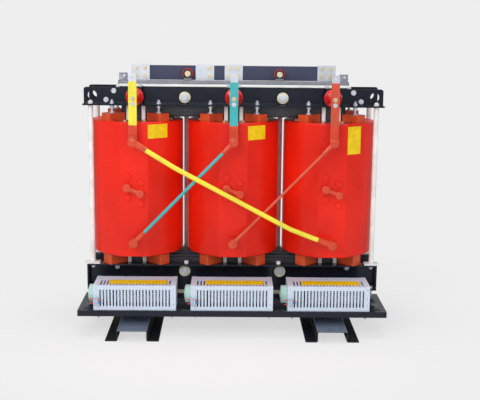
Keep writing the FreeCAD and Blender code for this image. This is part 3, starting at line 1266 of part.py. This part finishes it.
core()
upper_clamps()
lower_clamps()
base_rails()
base_beams()
for phase_name, phase_centre in PHASES.items():
    hv_coil("hv_coil_" + phase_name, phase_centre)
    lv_coil("lv_coil_" + phase_name, phase_centre)
duct_spacers()
limb_struts()
support_blocks()
core_bolts()
block_studs()
tie_rods()
frame_bolts()
hv_brackets()
hv_insulators()
for phase_name, phase_centre in PHASES.items():
    hv_bar(phase_name, phase_centre)
delta_rods()
tap_links()
lv_leads()
lv_neutral()
lv_support()
terminal_bolts()
fan_tray()
for fan_name, fan_centre in FANS.items():
    fan_housing("fan_housing_" + fan_name, fan_centre)
    fan_impeller("fan_impeller_" + fan_name, fan_centre)
fan_motors()
doc.recompute()
check_objects()
export()
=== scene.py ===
"""Dry-type transformer with three cast coils, in front of a pale backdrop."""
import json
import math

import bpy
from mathutils import Matrix, Vector


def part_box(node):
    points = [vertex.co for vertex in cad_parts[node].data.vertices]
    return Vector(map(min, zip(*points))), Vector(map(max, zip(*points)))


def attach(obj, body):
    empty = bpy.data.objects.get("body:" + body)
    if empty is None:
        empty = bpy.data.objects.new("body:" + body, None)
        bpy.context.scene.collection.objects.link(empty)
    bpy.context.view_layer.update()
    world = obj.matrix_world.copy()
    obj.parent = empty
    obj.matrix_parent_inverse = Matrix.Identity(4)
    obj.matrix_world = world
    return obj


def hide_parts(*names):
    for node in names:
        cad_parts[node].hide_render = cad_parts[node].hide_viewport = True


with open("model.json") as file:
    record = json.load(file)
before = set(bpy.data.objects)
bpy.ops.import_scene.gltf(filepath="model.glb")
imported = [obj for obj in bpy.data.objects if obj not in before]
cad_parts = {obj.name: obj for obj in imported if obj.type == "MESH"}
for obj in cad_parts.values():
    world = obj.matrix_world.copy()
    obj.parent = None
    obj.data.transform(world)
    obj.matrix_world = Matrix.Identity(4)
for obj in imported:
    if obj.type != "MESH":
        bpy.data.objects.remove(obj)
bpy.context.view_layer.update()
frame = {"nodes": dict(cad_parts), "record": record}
NODES = frame["nodes"]
BACKDROP_GREY = 0.855
LAMP_LIGHT_ON_FLOOR = 0.24


# Finishes. Every one is worked out from Object coordinates, in metres.

def blank_finish(name, roughness, metallic=0.0, coat=0.0, specular=0.5):
    material = bpy.data.materials.new(name)
    material.use_nodes = True
    shader = material.node_tree.nodes["Principled BSDF"]
    shader.inputs["Roughness"].default_value = roughness
    shader.inputs["Metallic"].default_value = metallic
    shader.inputs["Coat Weight"].default_value = coat
    shader.inputs["Coat Roughness"].default_value = 0.12
    shader.inputs["Specular IOR Level"].default_value = specular
    return material, material.node_tree, shader


def place_on_piece(tree, stretch=(1, 1, 1), turn=(0, 0, 0)):
    """Object coordinates, stretched so that a pattern runs along the piece."""
    where = tree.nodes.new("ShaderNodeTexCoord")
    mapping = tree.nodes.new("ShaderNodeMapping")
    mapping.inputs["Scale"].default_value = stretch
    mapping.inputs["Rotation"].default_value = turn
    tree.links.new(where.outputs["Object"], mapping.inputs["Vector"])
    return mapping.outputs["Vector"]


def noise(tree, vector, size, detail=3.0, roughness=0.5):
    texture = tree.nodes.new("ShaderNodeTexNoise")
    texture.inputs["Scale"].default_value = 1 / size
    texture.inputs["Detail"].default_value = detail
    texture.inputs["Roughness"].default_value = roughness
    tree.links.new(vector, texture.inputs["Vector"])
    return texture.outputs["Fac"]


def shades(tree, factor, *stops):
    """Colours along a ramp, each stop a place and a linear colour."""
    ramp = tree.nodes.new("ShaderNodeValToRGB")
    elements = ramp.color_ramp.elements
    while len(elements) < len(stops):
        elements.new(0.5)
    for element, (place, colour) in zip(elements, stops):
        element.position = place
        element.color = (*colour, 1)
    tree.links.new(factor, ramp.inputs["Fac"])
    return ramp.outputs["Color"]


def spread(tree, factor, low, high):
    """The middle of a noise, from 0.3 to 0.7, spread over a range of values."""
    remap = tree.nodes.new("ShaderNodeMapRange")
    remap.inputs["From Min"].default_value = 0.3
    remap.inputs["From Max"].default_value = 0.7
    remap.inputs["To Min"].default_value = low
    remap.inputs["To Max"].default_value = high
    tree.links.new(factor, remap.inputs["Value"])
    return remap.outputs["Result"]


def raised(tree, shader, height, depth, strength=0.4):
    bump = tree.nodes.new("ShaderNodeBump")
    bump.inputs["Strength"].default_value = strength
    bump.inputs["Distance"].default_value = depth
    tree.links.new(height, bump.inputs["Height"])
    tree.links.new(bump.outputs["Normal"], shader.inputs["Normal"])


def worn(colour, factor):
    return tuple(min(1.0, part * factor) for part in colour)


def cast_finish(name, colour, roughness=(0.30, 0.42), coat=0.15, patch=0.35, grain=0.006, depth=0.0002,
                specular=0.35):
    """Cast or moulded resin: soft clouds of tone and a slightly uneven skin."""
    material, tree, shader = blank_finish(name, 0.35, coat=coat, specular=specular)
    clouds = noise(tree, place_on_piece(tree), patch, 4)
    tree.links.new(shades(tree, clouds, (0.35, worn(colour, 0.88)), (0.65, worn(colour, 1.1))),
                   shader.inputs["Base Color"])
    tree.links.new(spread(tree, clouds, *roughness), shader.inputs["Roughness"])
    raised(tree, shader, noise(tree, place_on_piece(tree), grain, 2), depth)
    return material


def paint_finish(name, colour, roughness=(0.38, 0.55), grain=0.0025, depth=0.0002, dust=1.35, coat=0.1,
                 glint=(1, 1, 1)):
    """Sprayed paint on steel: orange peel and a little dust."""
    material, tree, shader = blank_finish(name, 0.45, coat=coat, specular=0.4)
    shader.inputs["Specular Tint"].default_value = (*glint, 1)
    clouds = noise(tree, place_on_piece(tree), 0.12, 6, 0.65)
    dusty = shades(tree, clouds, (0.35, colour), (0.7, worn(colour, dust)))
    tree.links.new(dusty, shader.inputs["Base Color"])
    tree.links.new(spread(tree, clouds, *roughness), shader.inputs["Roughness"])
    raised(tree, shader, noise(tree, place_on_piece(tree), grain, 2), depth, 0.3)
    return material


def metal_finish(name, colour, roughness=(0.28, 0.45), stretch=(1, 1, 1), grain=0.003, tarnish=0.75,
                 metallic=1.0):
    """Bare or plated metal with fine lines and a cloudy tarnish."""
    material, tree, shader = blank_finish(name, 0.35, metallic=metallic)
    clouds = noise(tree, place_on_piece(tree), 0.05, 5, 0.6)
    tarnished = shades(tree, clouds, (0.3, worn(colour, tarnish)), (0.7, colour))
    tree.links.new(tarnished, shader.inputs["Base Color"])
    lines = noise(tree, place_on_piece(tree, stretch), grain, 3)
    tree.links.new(spread(tree, lines, *roughness), shader.inputs["Roughness"])
    raised(tree, shader, lines, 0.0002, 0.25)
    return material


def sheet_stack_finish(name, colour):
    """Varnished edges of stacked core sheets, which lie square to the Y axis."""
    material, tree, shader = blank_finish(name, 0.5, metallic=0.35)
    across = place_on_piece(tree, (0.02, 1, 0.02))
    sheets = noise(tree, across, 0.0022, 2, 0.7)
    tree.links.new(shades(tree, sheets, (0.3, worn(colour, 0.55)), (0.7, worn(colour, 1.2))),
                   shader.inputs["Base Color"])
    tree.links.new(spread(tree, sheets, 0.35, 0.6), shader.inputs["Roughness"])
    raised(tree, shader, sheets, 0.0006, 0.6)
    return material


def sleeve_finish(name, colour, along=(1, 1, 0.12)):
    """Heat-shrunk sleeve: satin, with long faint wrinkles."""
    material, tree, shader = blank_finish(name, 0.38, coat=0.2)
    wrinkles = noise(tree, place_on_piece(tree, along), 0.006, 3)
    clouds = noise(tree, place_on_piece(tree), 0.08, 3)
    tree.links.new(shades(tree, clouds, (0.3, worn(colour, 0.86)), (0.7, worn(colour, 1.06))),
                   shader.inputs["Base Color"])
    tree.links.new(spread(tree, wrinkles, 0.3, 0.5), shader.inputs["Roughness"])
    raised(tree, shader, wrinkles, 0.0006, 0.35)
    return material


def rail_finish(name, colour, web, level):
    """Black paint, with a painted pale blue-grey highlight on the web's upper face at one level, where light
    from above falls.
    """
    material, tree, shader = blank_finish(name, 0.4, specular=0.4)
    where = place_on_piece(tree)
    split = tree.nodes.new("ShaderNodeSeparateXYZ")
    height = tree.nodes.new("ShaderNodeMapRange")
    height.inputs["From Min"].default_value = level - 0.002
    height.inputs["From Max"].default_value = level - 0.0004
    # Above the level the colour switches to the web colour: a painted highlight on the web's top face.
    paint = tree.nodes.new("ShaderNodeMix")
    paint.data_type = "RGBA"
    clouds = noise(tree, where, 0.03, 6, 0.7)
    tree.links.new(where, split.inputs[0])
    tree.links.new(split.outputs["Z"], height.inputs["Value"])
    tree.links.new(height.outputs["Result"], paint.inputs["Factor"])
    tree.links.new(shades(tree, clouds, (0.35, colour), (0.7, worn(colour, 1.6))), paint.inputs["A"])
    tree.links.new(shades(tree, clouds, (0.3, worn(web, 0.6)), (0.7, web)), paint.inputs["B"])
    tree.links.new(paint.outputs["Result"], shader.inputs["Base Color"])
    tree.links.new(spread(tree, clouds, 0.3, 0.5), shader.inputs["Roughness"])
    raised(tree, shader, noise(tree, where, 0.0025, 2), 0.0001, 0.3)
    return material


FINISHES = {
    "core_steel": sheet_stack_finish("core_sheets", (0.05, 0.053, 0.064)),
    "frame_black": paint_finish("black_frame_paint", (0.0065, 0.007, 0.011), (0.2, 0.34), depth=0.0001,
                                coat=0.15, glint=(0.62, 0.74, 1.0)),
    "galvanised": metal_finish("galvanised_steel", (0.28, 0.29, 0.33), (0.4, 0.6), grain=0.02, metallic=0.7),
    "zinc_bolts": metal_finish("zinc_plated_steel", (0.74, 0.79, 0.88), (0.25, 0.4), metallic=0.55),
    "brass_bolts": metal_finish("brass_bolts", (0.80, 0.70, 0.46), (0.25, 0.42), metallic=0.8),
    "pad_cream": cast_finish("cream_laminate", (0.80, 0.74, 0.50), (0.5, 0.65), coat=0.0, patch=0.04),
    "white_sleeve": cast_finish("white_glass_sleeve", (0.86, 0.86, 0.85), (0.4, 0.5), coat=0.1, patch=0.08),
    "cast_resin": cast_finish("red_cast_resin", (0.80, 0.016, 0.004), (0.3, 0.42), coat=0.08, specular=0.25),
    "winding_resin": cast_finish("winding_resin", (0.44, 0.06, 0.03), (0.45, 0.6), patch=0.05),
    "duct_laminate": cast_finish("duct_sticks", (0.62, 0.42, 0.26), (0.5, 0.65), coat=0.0, patch=0.03),
    "block_resin": cast_finish("block_resin", (0.66, 0.085, 0.022), (0.38, 0.5), patch=0.08),
    "insulator_resin": cast_finish("insulator_resin", (0.74, 0.014, 0.010), (0.16, 0.26), coat=0.4,
                                   patch=0.06, grain=0.02, depth=0.00005),
    "tinned_bar": metal_finish("tinned_copper", (0.66, 0.70, 0.77), (0.3, 0.5), (1, 1, 0.1), tarnish=0.88,
                               metallic=0.85),
    "sleeve_yellow": sleeve_finish("yellow_sleeve", (0.92, 0.80, 0.05)),
    "sleeve_green": sleeve_finish("green_sleeve", (0.040, 0.44, 0.46)),
    "sleeve_red": sleeve_finish("brown_red_sleeve", (0.66, 0.072, 0.024)),
    "boot_resin": cast_finish("boot_resin", (0.66, 0.058, 0.018), (0.22, 0.34), coat=0.4, patch=0.05),
    "board_laminate": cast_finish("dark_board", (0.046, 0.054, 0.110), (0.35, 0.5), patch=0.1),
    "fan_sheet": paint_finish("fan_sheet_paint", (0.62, 0.70, 0.84), (0.3, 0.42), depth=0.0001, dust=1.05),
    "impeller_aluminium": metal_finish("impeller_aluminium", (0.90, 0.94, 1.0), (0.35, 0.5), tarnish=0.92,
                                       metallic=0.1),
    "motor_paint": paint_finish("motor_paint", (0.44, 0.66, 0.60), (0.4, 0.5), dust=1.1),
}
COVER_FINISH = cast_finish("glass_cloth_cover", (0.70, 0.70, 0.69), (0.45, 0.6), coat=0.0, patch=0.12)
# The third colour is the painted highlight on the rail web's top face, and 0.057 is the level of that face.
RAIL_FINISH = rail_finish("rail_paint_painted_highlight", (0.0065, 0.007, 0.011), (0.17, 0.21, 0.30), 0.057)
LABEL_FINISH = cast_finish("bare_yellow_label", (0.95, 0.64, 0.0), (0.3, 0.4),
                           coat=0.2, patch=0.03, depth=0.0001)
BLOCK_FINISH = cast_finish("connector_block", (0.50, 0.60, 0.72), (0.3, 0.4), coat=0.2, patch=0.01)
CRIMP_FINISHES = {"red": cast_finish("red_crimp", (0.78, 0.03, 0.06), (0.3, 0.4), patch=0.01),
                  "blue": cast_finish("blue_crimp", (0.03, 0.2, 0.72), (0.3, 0.4), patch=0.01)}


OWN_FINISHES = {"yoke_cover": COVER_FINISH, "base_rail_left": RAIL_FINISH, "base_rail_right": RAIL_FINISH}


def dress(piece, finish):
    """Gives a piece one finish on every one of its faces."""
    piece.data.materials.clear()
    piece.data.materials.append(finish)


for part in frame["record"]["subparts"]:
    node = NODES[part["node"]]
    finish = OWN_FINISHES.get(part["node"], FINISHES[part["material_slot"]])
    if node.data.materials:
        node.data.materials[0] = finish
    else:
        node.data.materials.append(finish)


# Ways of making the added pieces

def choose(piece):
    """Selects one piece and nothing else."""
    bpy.ops.object.select_all(action="DESELECT")
    piece.select_set(True)
    bpy.context.view_layer.objects.active = piece


def select_faces(piece, wanted):
    """In edit mode, selects the faces whose centre and normal pass the test."""
    choose(piece)
    bpy.ops.object.mode_set(mode="EDIT")
    bpy.ops.mesh.select_mode(type="FACE")
    bpy.ops.mesh.select_all(action="DESELECT")
    bpy.ops.object.mode_set(mode="OBJECT")
    for face in piece.data.polygons:
        face.select = wanted(face.center, face.normal)
    bpy.ops.object.mode_set(mode="EDIT")


def leave_edit():
    bpy.ops.mesh.select_all(action="DESELECT")
    bpy.ops.object.mode_set(mode="OBJECT")


def shaped(piece, kind, **settings):
    """Adds a modifier and applies it."""
    choose(piece)
    modifier = piece.modifiers.new(kind.lower(), kind)
    for key, value in settings.items():
        setattr(modifier, key, value)
    bpy.ops.object.modifier_apply(modifier=modifier.name)


def settle(piece, name, slot, finish=None, smooth=35):
    """Names a finished piece, puts its place in its mesh, and fixes it to the transformer."""
    choose(piece)
    piece.name = name
    bpy.ops.object.transform_apply(location=True, rotation=True, scale=True)
    bpy.ops.object.shade_smooth_by_angle(angle=math.radians(smooth))
    dress(piece, finish or FINISHES[slot])
    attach(piece, "transformer")
    return piece


def slab(low, high, edge=0.0):
    """A block between two corners, in metres, its edges rounded when an edge width is given."""
    middle = [(start + end) / 2 for start, end in zip(low, high)]
    bpy.ops.object.select_all(action="DESELECT")
    bpy.ops.mesh.primitive_cube_add(size=1, location=middle)
    piece = bpy.context.object
    piece.scale = [end - start for start, end in zip(low, high)]
    bpy.ops.object.transform_apply(location=False, rotation=False, scale=True)
    if edge:
        shaped(piece, "BEVEL", width=edge, segments=2)
    return piece


# Bare labels on the coils

def coil_label(name, coil, left, right, bottom, top):
    """A thin bare label that lies on a coil's flank, its sides measured from the coil's axis."""
    low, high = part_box(coil)
    axis = (low[0] + high[0]) / 2
    bpy.ops.object.select_all(action="DESELECT")
    bpy.ops.mesh.primitive_plane_add(size=1, location=(axis + (left + right) / 2, -0.30, (bottom + top) / 2),
                                     rotation=(math.radians(90), 0, 0))
    label = bpy.context.object
    label.scale = (right - left, top - bottom, 1)
    bpy.ops.object.transform_apply(location=True, rotation=True, scale=True)
    bpy.ops.object.mode_set(mode="EDIT")
    bpy.ops.mesh.select_all(action="SELECT")
    bpy.ops.mesh.subdivide(number_cuts=15)
    leave_edit()
    shaped(label, "SHRINKWRAP", target=NODES[coil], wrap_method="PROJECT", use_project_y=True,
           use_negative_direction=True, use_positive_direction=True, offset=0.0003)
    shaped(label, "SOLIDIFY", thickness=0.0003, offset=1.0)
    settle(label, name, "sleeve_yellow", LABEL_FINISH)


# Moulded boots and links, softened where the cast shapes meet

def moulded(node, slot, grain, passes):
    """A softened copy of a CAD node that stands for it."""
    choose(NODES[node])
    bpy.ops.object.duplicate(linked=False)
    piece = bpy.context.object
    choose(piece)
    bpy.ops.object.mode_set(mode="EDIT")
    bpy.ops.mesh.select_all(action="SELECT")
    bpy.ops.mesh.remove_doubles(threshold=0.00001)
    leave_edit()
    shaped(piece, "REMESH", mode="VOXEL", voxel_size=grain)
    shaped(piece, "SMOOTH", factor=0.5, iterations=passes)
    settle(piece, "moulded_" + node, slot, smooth=80)
    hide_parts(node)


def boot_cap(name, x, front, level):
    """The rounded cap of a boot, over the head of the terminal screw."""
    bpy.ops.object.select_all(action="DESELECT")
    bpy.ops.mesh.primitive_cylinder_add(vertices=48, radius=0.0245, depth=0.012,
                                        location=(x, front + 0.002, level),
                                        rotation=(math.radians(90), 0, 0))
    cap = bpy.context.object
    select_faces(cap, lambda middle, normal: normal.z > 0.9)
    bpy.ops.mesh.inset(thickness=0.0045)
    bpy.ops.mesh.extrude_region_move(TRANSFORM_OT_translate={"value": (0, -0.003, 0)})
    bpy.ops.mesh.inset(thickness=0.013)
    bpy.ops.mesh.extrude_region_move(TRANSFORM_OT_translate={"value": (0, -0.0012, 0)})
    leave_edit()
    shaped(cap, "BEVEL", width=0.0016, segments=3, limit_method="ANGLE")
    settle(cap, name, "boot_resin")


# Each terminal's place along X and the front of its boot, by the coil that it is on.
COIL_PITCH = 0.54
YELLOW_BOOT, GREEN_BOOT, RED_BOOT = -0.355, -0.326, -0.325
HIGH_BOOTS = {"left": (-COIL_PITCH, YELLOW_BOOT), "middle": (0, GREEN_BOOT), "right": (COIL_PITCH, RED_BOOT)}
LOW_BOOTS = {"left": (-COIL_PITCH, GREEN_BOOT), "middle": (0, RED_BOOT), "right": (COIL_PITCH, YELLOW_BOOT)}
HIGH_TERMINAL, LOW_TERMINAL = 0.645, 0.089


def cap_boots():
    """Caps the boots of the six terminals."""
    coil_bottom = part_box("hv_coil_left")[0][2]
    for row, boots, rise in (("high", HIGH_BOOTS, HIGH_TERMINAL), ("low", LOW_BOOTS, LOW_TERMINAL)):
        for place, (x, front) in boots.items():
            boot_cap(f"boot_cap_{place}_{row}", x, front, coil_bottom + rise)


# Fan fittings

FAN_CENTRES = {"left": -0.524, "middle": -0.0035, "right": 0.517}
FAN_HALF = 0.2205
FAN_FRONT, FAN_TOP = -0.4515, 0.274
MOTOR_RADIUS, MOTOR_PROUD, DRUM_DEPTH, DRUM_LEVEL = 0.0478, 0.028, -0.353, 0.206
TRAY_UNDER, TRAY_TOP, TRAY_BOLT_LINE = 0.106, 0.138, -0.439


def fan_label(name, centre):
    """The bare yellow strip that covers the rear of the top slots."""
    bpy.ops.object.select_all(action="DESELECT")
    bpy.ops.mesh.primitive_plane_add(size=1, location=(centre + 0.014, -0.374, FAN_TOP))
    strip = bpy.context.object
    strip.scale = (0.312, 0.080, 1)
    bpy.ops.object.transform_apply(location=False, rotation=False, scale=True)
    bpy.ops.object.mode_set(mode="EDIT")
    bpy.ops.mesh.select_all(action="SELECT")
    bpy.ops.mesh.bevel(offset=0.005, segments=4, affect="VERTICES")
    leave_edit()
    shaped(strip, "SOLIDIFY", thickness=0.0005, offset=1.0)
    settle(strip, name, "sleeve_yellow", LABEL_FINISH)


def terminal_block(name, centre):
    """Connector block on the left end cap: two screw wells with a rib between them."""
    left = centre - FAN_HALF
    body = slab((left + 0.001, FAN_FRONT - 0.013, 0.170), (left + 0.025, FAN_FRONT, 0.212), 0.0015)
    choose(body)
    bpy.ops.object.mode_set(mode="EDIT")
    bpy.ops.mesh.select_all(action="SELECT")
    bpy.ops.mesh.bisect(plane_co=body.location, plane_no=(0, 0, 1))
    leave_edit()
    select_faces(body, lambda middle, normal: normal.y < -0.9 and abs(middle.x) < 0.006)
    bpy.ops.mesh.inset(thickness=0.004, use_individual=True)
    bpy.ops.mesh.extrude_region_shrink_fatten(TRANSFORM_OT_shrink_fatten={"value": -0.005})
    leave_edit()
    settle(body, name, "white_sleeve", BLOCK_FINISH)


def crimp(name, start, side, colour):
    """A crimped terminal held in the block: an insulating sleeve and a narrower ferrule, all in the sleeve's
    finish.
    """
    bpy.ops.object.select_all(action="DESELECT")
    bpy.ops.mesh.primitive_cylinder_add(vertices=16, radius=0.0026, depth=0.016, location=start,
                                        rotation=(0, math.radians(90) * side, 0))
    sleeve = bpy.context.object
    select_faces(sleeve, lambda middle, normal: normal.z > 0.9)
    bpy.ops.mesh.inset(thickness=0.0007)
    bpy.ops.mesh.extrude_region_move(TRANSFORM_OT_translate={"value": (0.004 * side, 0, 0)})
    leave_edit()
    shaped(sleeve, "BEVEL", width=0.0006, segments=2, limit_method="ANGLE")
    settle(sleeve, name, "sleeve_red", CRIMP_FINISHES[colour])


def motor_end(name, centre):
    """Stepped end cover of a motor with a hollow bearing seat in its middle."""
    face = centre - FAN_HALF - MOTOR_PROUD
    bpy.ops.object.select_all(action="DESELECT")
    bpy.ops.mesh.primitive_cylinder_add(vertices=48, radius=MOTOR_RADIUS, depth=0.004,
                                        location=(face - 0.002, DRUM_DEPTH, DRUM_LEVEL),
                                        rotation=(0, math.radians(-90), 0))
    cover = bpy.context.object
    select_faces(cover, lambda middle, normal: normal.z > 0.9)
    bpy.ops.mesh.inset(thickness=0.010)
    bpy.ops.mesh.extrude_region_move(TRANSFORM_OT_translate={"value": (-0.003, 0, 0)})
    bpy.ops.mesh.inset(thickness=0.018)
    bpy.ops.mesh.extrude_region_move(TRANSFORM_OT_translate={"value": (-0.003, 0, 0)})
    bpy.ops.mesh.inset(thickness=0.005)
    bpy.ops.mesh.extrude_region_move(TRANSFORM_OT_translate={"value": (0.002, 0, 0)})
    leave_edit()
    shaped(cover, "BEVEL", width=0.0012, segments=2, limit_method="ANGLE")
    settle(cover, name, "motor_paint")


def hexagon_nut(name, seat, turn=(0, 0, 0)):
    """Hexagon nut on its washer with the end of its bolt, pointing down from its seat unless turned."""
    bpy.ops.object.select_all(action="DESELECT")
    bpy.ops.mesh.primitive_cylinder_add(vertices=6, radius=0.0075, depth=0.0055)
    nut = bpy.context.object
    select_faces(nut, lambda middle, normal: normal.z < -0.9)
    bpy.ops.mesh.inset(thickness=0.0032)
    bpy.ops.mesh.extrude_region_move(TRANSFORM_OT_translate={"value": (0, 0, -0.007)})
    leave_edit()
    select_faces(nut, lambda middle, normal: normal.z > 0.9)
    bpy.ops.mesh.extrude_region_move(TRANSFORM_OT_translate={"value": (0, 0, 0.0001)})
    bpy.ops.transform.resize(value=(1.25, 1.25, 1))
    bpy.ops.mesh.extrude_region_move(TRANSFORM_OT_translate={"value": (0, 0, 0.0014)})
    leave_edit()
    shaped(nut, "BEVEL", width=0.0005, segments=1, limit_method="ANGLE")
    nut.rotation_euler = turn
    nut.location = Vector(seat) - Matrix.Rotation(turn[0], 3, "X") @ Vector((0, 0, 0.00425))
    settle(nut, name, "zinc_bolts")


def bar_clip(name, x):
    """Folded clip on the end of the support bar, with a nut on its ear."""
    clip = slab((x - 0.025, 0.112, 1.330), (x + 0.025, 0.150, 1.333))
    choose(clip)
    bpy.ops.object.mode_set(mode="EDIT")
    bpy.ops.mesh.select_all(action="SELECT")
    bpy.ops.mesh.bisect(plane_co=(x, 0.147, 1.331), plane_no=(0, 1, 0))
    leave_edit()
    select_faces(clip, lambda middle, normal: normal.z > 0.9 and middle.y > 0.015)
    bpy.ops.mesh.extrude_region_move(TRANSFORM_OT_translate={"value": (0, 0, 0.040)})
    leave_edit()
    shaped(clip, "BEVEL", width=0.0012, segments=2, limit_method="ANGLE")
    settle(clip, name, "galvanised")
    hexagon_nut(name + "_nut", (x + 0.006, 0.147, 1.354), (math.radians(-90), 0, 0))


def blank_plate(name, left, right):
    """Thin plate that closes an end of the tray's front bay, with a raised panel inside a narrow rim."""
    plate = slab((left, -0.425, TRAY_TOP), (right, -0.298, TRAY_TOP + 0.0016))
    select_faces(plate, lambda middle, normal: normal.z > 0.9)
    bpy.ops.mesh.inset(thickness=0.004)
    bpy.ops.mesh.extrude_region_move(TRANSFORM_OT_translate={"value": (0, 0, 0.0008)})
    leave_edit()
    shaped(plate, "BEVEL", width=0.0005, segments=2, limit_method="ANGLE")
    settle(plate, name, "frame_black")


def dress_fans():
    """Gives each fan its strip, connector block with crimps, motor cover and foot nuts."""
    for place, centre in FAN_CENTRES.items():
        fan_label("fan_label_" + place, centre)
        terminal_block("terminal_block_" + place, centre)
        motor_end("motor_end_" + place, centre)
        for side, shift in (("left", -0.196), ("right", 0.2)):
            hexagon_nut(f"foot_nut_{side}_{place}", (centre + shift, TRAY_BOLT_LINE, TRAY_UNDER))
        left = centre - FAN_HALF
        for number, (offset, level, side, colour) in enumerate((
                (-0.007, 0.202, -1, "red"), (-0.007, 0.178, -1, "red"),
                (0.033, 0.196, 1, "red"), (0.033, 0.182, 1, "blue"))):
            crimp(f"crimp_{place}_{number + 1}", (left + offset, FAN_FRONT - 0.006, level), side, colour)


coil_label("coil_label_left", "hv_coil_left", 0.0775, 0.178, 1.040, 1.116)
coil_label("coil_label_middle", "hv_coil_middle", 0.0775, 0.172, 1.036, 1.113)
coil_label("coil_label_right", "hv_coil_right", 0.0775, 0.154, 0.962, 1.113)
moulded("heat_shrink_boots", "boot_resin", 0.0017, 2)
moulded("tap_links", "boot_resin", 0.0017, 3)
cap_boots()
dress_fans()
blank_plate("tray_blank_left", -0.802, -0.7455)
blank_plate("tray_blank_right", 0.7385, 0.802)
bar_clip("bar_clip_left", -0.634)
bar_clip("bar_clip_right", 0.634)


# Studio: pale floor, soft lamps, camera

def floor():
    """Pale floor that keeps the object's shadow and fades into the backdrop."""
    bpy.ops.object.select_all(action="DESELECT")
    bpy.ops.mesh.primitive_plane_add(size=40, location=(0, 0, 0))
    plane = bpy.context.object
    plane.name = "studio_floor"
    material = bpy.data.materials.new("studio_floor")
    material.use_nodes = True
    tree = material.node_tree
    tree.nodes.clear()
    out = tree.nodes.new("ShaderNodeOutputMaterial")
    lit = tree.nodes.new("ShaderNodeBsdfDiffuse")
    lit.inputs["Color"].default_value = (0.8, 0.8, 0.8, 1)
    faint = tree.nodes.new("ShaderNodeBsdfDiffuse")
    faint.inputs["Color"].default_value = (0.26, 0.26, 0.26, 1)
    glow = tree.nodes.new("ShaderNodeEmission")
    glow.inputs["Color"].default_value = (1, 1, 1, 1)
    glow.inputs["Strength"].default_value = BACKDROP_GREY - LAMP_LIGHT_ON_FLOOR
    near = tree.nodes.new("ShaderNodeAddShader")
    far = tree.nodes.new("ShaderNodeEmission")
    far.inputs["Color"].default_value = (1, 1, 1, 1)
    far.inputs["Strength"].default_value = BACKDROP_GREY
    where = tree.nodes.new("ShaderNodeTexCoord")
    distance = tree.nodes.new("ShaderNodeVectorMath")
    distance.operation = "LENGTH"
    fade = tree.nodes.new("ShaderNodeMapRange")
    fade.interpolation_type = "SMOOTHSTEP"
    fade.inputs["From Min"].default_value = 0.8
    fade.inputs["From Max"].default_value = 2.2
    seen = tree.nodes.new("ShaderNodeMixShader")
    path = tree.nodes.new("ShaderNodeLightPath")
    whole = tree.nodes.new("ShaderNodeMixShader")
    links = tree.links
    links.new(faint.outputs[0], near.inputs[0])
    links.new(glow.outputs[0], near.inputs[1])
    links.new(where.outputs["Object"], distance.inputs[0])
    links.new(distance.outputs["Value"], fade.inputs["Value"])
    links.new(fade.outputs["Result"], seen.inputs["Fac"])
    links.new(near.outputs[0], seen.inputs[1])
    links.new(far.outputs[0], seen.inputs[2])
    links.new(path.outputs["Is Camera Ray"], whole.inputs["Fac"])
    links.new(lit.outputs[0], whole.inputs[1])
    links.new(seen.outputs[0], whole.inputs[2])
    links.new(whole.outputs[0], out.inputs["Surface"])
    plane.data.materials.append(material)


def surroundings(strength):
    """A plain pale room, seen by the camera as the backdrop."""
    world = bpy.data.worlds.new("studio")
    world.use_nodes = True
    tree = world.node_tree
    room = tree.nodes["Background"]
    room.inputs["Color"].default_value = (1, 1, 1, 1)
    room.inputs["Strength"].default_value = strength
    backdrop = tree.nodes.new("ShaderNodeBackground")
    backdrop.inputs["Color"].default_value = (1, 1, 1, 1)
    backdrop.inputs["Strength"].default_value = BACKDROP_GREY
    path = tree.nodes.new("ShaderNodeLightPath")
    pick = tree.nodes.new("ShaderNodeMixShader")
    tree.links.new(path.outputs["Is Camera Ray"], pick.inputs["Fac"])
    tree.links.new(room.outputs[0], pick.inputs[1])
    tree.links.new(backdrop.outputs[0], pick.inputs[2])
    tree.links.new(pick.outputs[0], tree.nodes["World Output"].inputs["Surface"])
    bpy.context.scene.world = world


def softbox(name, place, target, size, power):
    lamp = bpy.data.lights.new(name, "AREA")
    lamp.shape = "RECTANGLE"
    lamp.size, lamp.size_y = size
    lamp.energy = power
    holder = bpy.data.objects.new(name, lamp)
    holder.location = place
    holder.rotation_euler = (Vector(target) - Vector(place)).to_track_quat("-Z", "Y").to_euler()
    bpy.context.scene.collection.objects.link(holder)


def camera():
    """The photograph's view: just right of the middle, a little above the coils, looking slightly down."""
    focal_pixels, frame_pixels, sensor = 965.7, 480, 36.0
    place = Vector((-0.0370, -5.4453, 1.6609))
    turn, down, lean = 0.0144, 0.1816, 0.0105
    right = Vector((math.cos(turn), -math.sin(turn), 0))
    level = Vector((math.sin(turn), math.cos(turn), 0))
    top = Vector((0, 0, 1))
    ahead = level * math.cos(down) - top * math.sin(down)
    over = level * math.sin(down) + top * math.cos(down)
    side = right * math.cos(lean) + over * math.sin(lean)
    rise = over * math.cos(lean) - right * math.sin(lean)
    data = bpy.data.cameras.new("photo_camera")
    data.sensor_width = sensor
    data.lens = focal_pixels / frame_pixels * sensor
    holder = bpy.data.objects.new("photo_camera", data)
    axes = Matrix((side, rise, -ahead)).transposed().to_4x4()
    holder.matrix_world = Matrix.Translation(place) @ axes
    bpy.context.scene.collection.objects.link(holder)
    bpy.context.scene.camera = holder


floor()
surroundings(0.5)
for lamp_name, lamp_place, aim_height, lamp_size, lamp_power in (
        ("key_softbox", (-2.6, -3.6, 3.0), 0.7, (2.2, 1.8), 76),
        ("fill_softbox", (2.8, -3.2, 2.0), 0.6, (1.6, 1.8), 26),
        ("front_softbox", (-0.5, -5.6, 2.3), 0.7, (2.4, 1.4), 36),
        ("top_softbox", (0, 0.3, 3.6), 0.6, (2.6, 1.6), 50)):
    softbox(lamp_name, lamp_place, (0, 0, aim_height), lamp_size, lamp_power)
camera()
bpy.context.scene.view_settings.view_transform = "Standard"
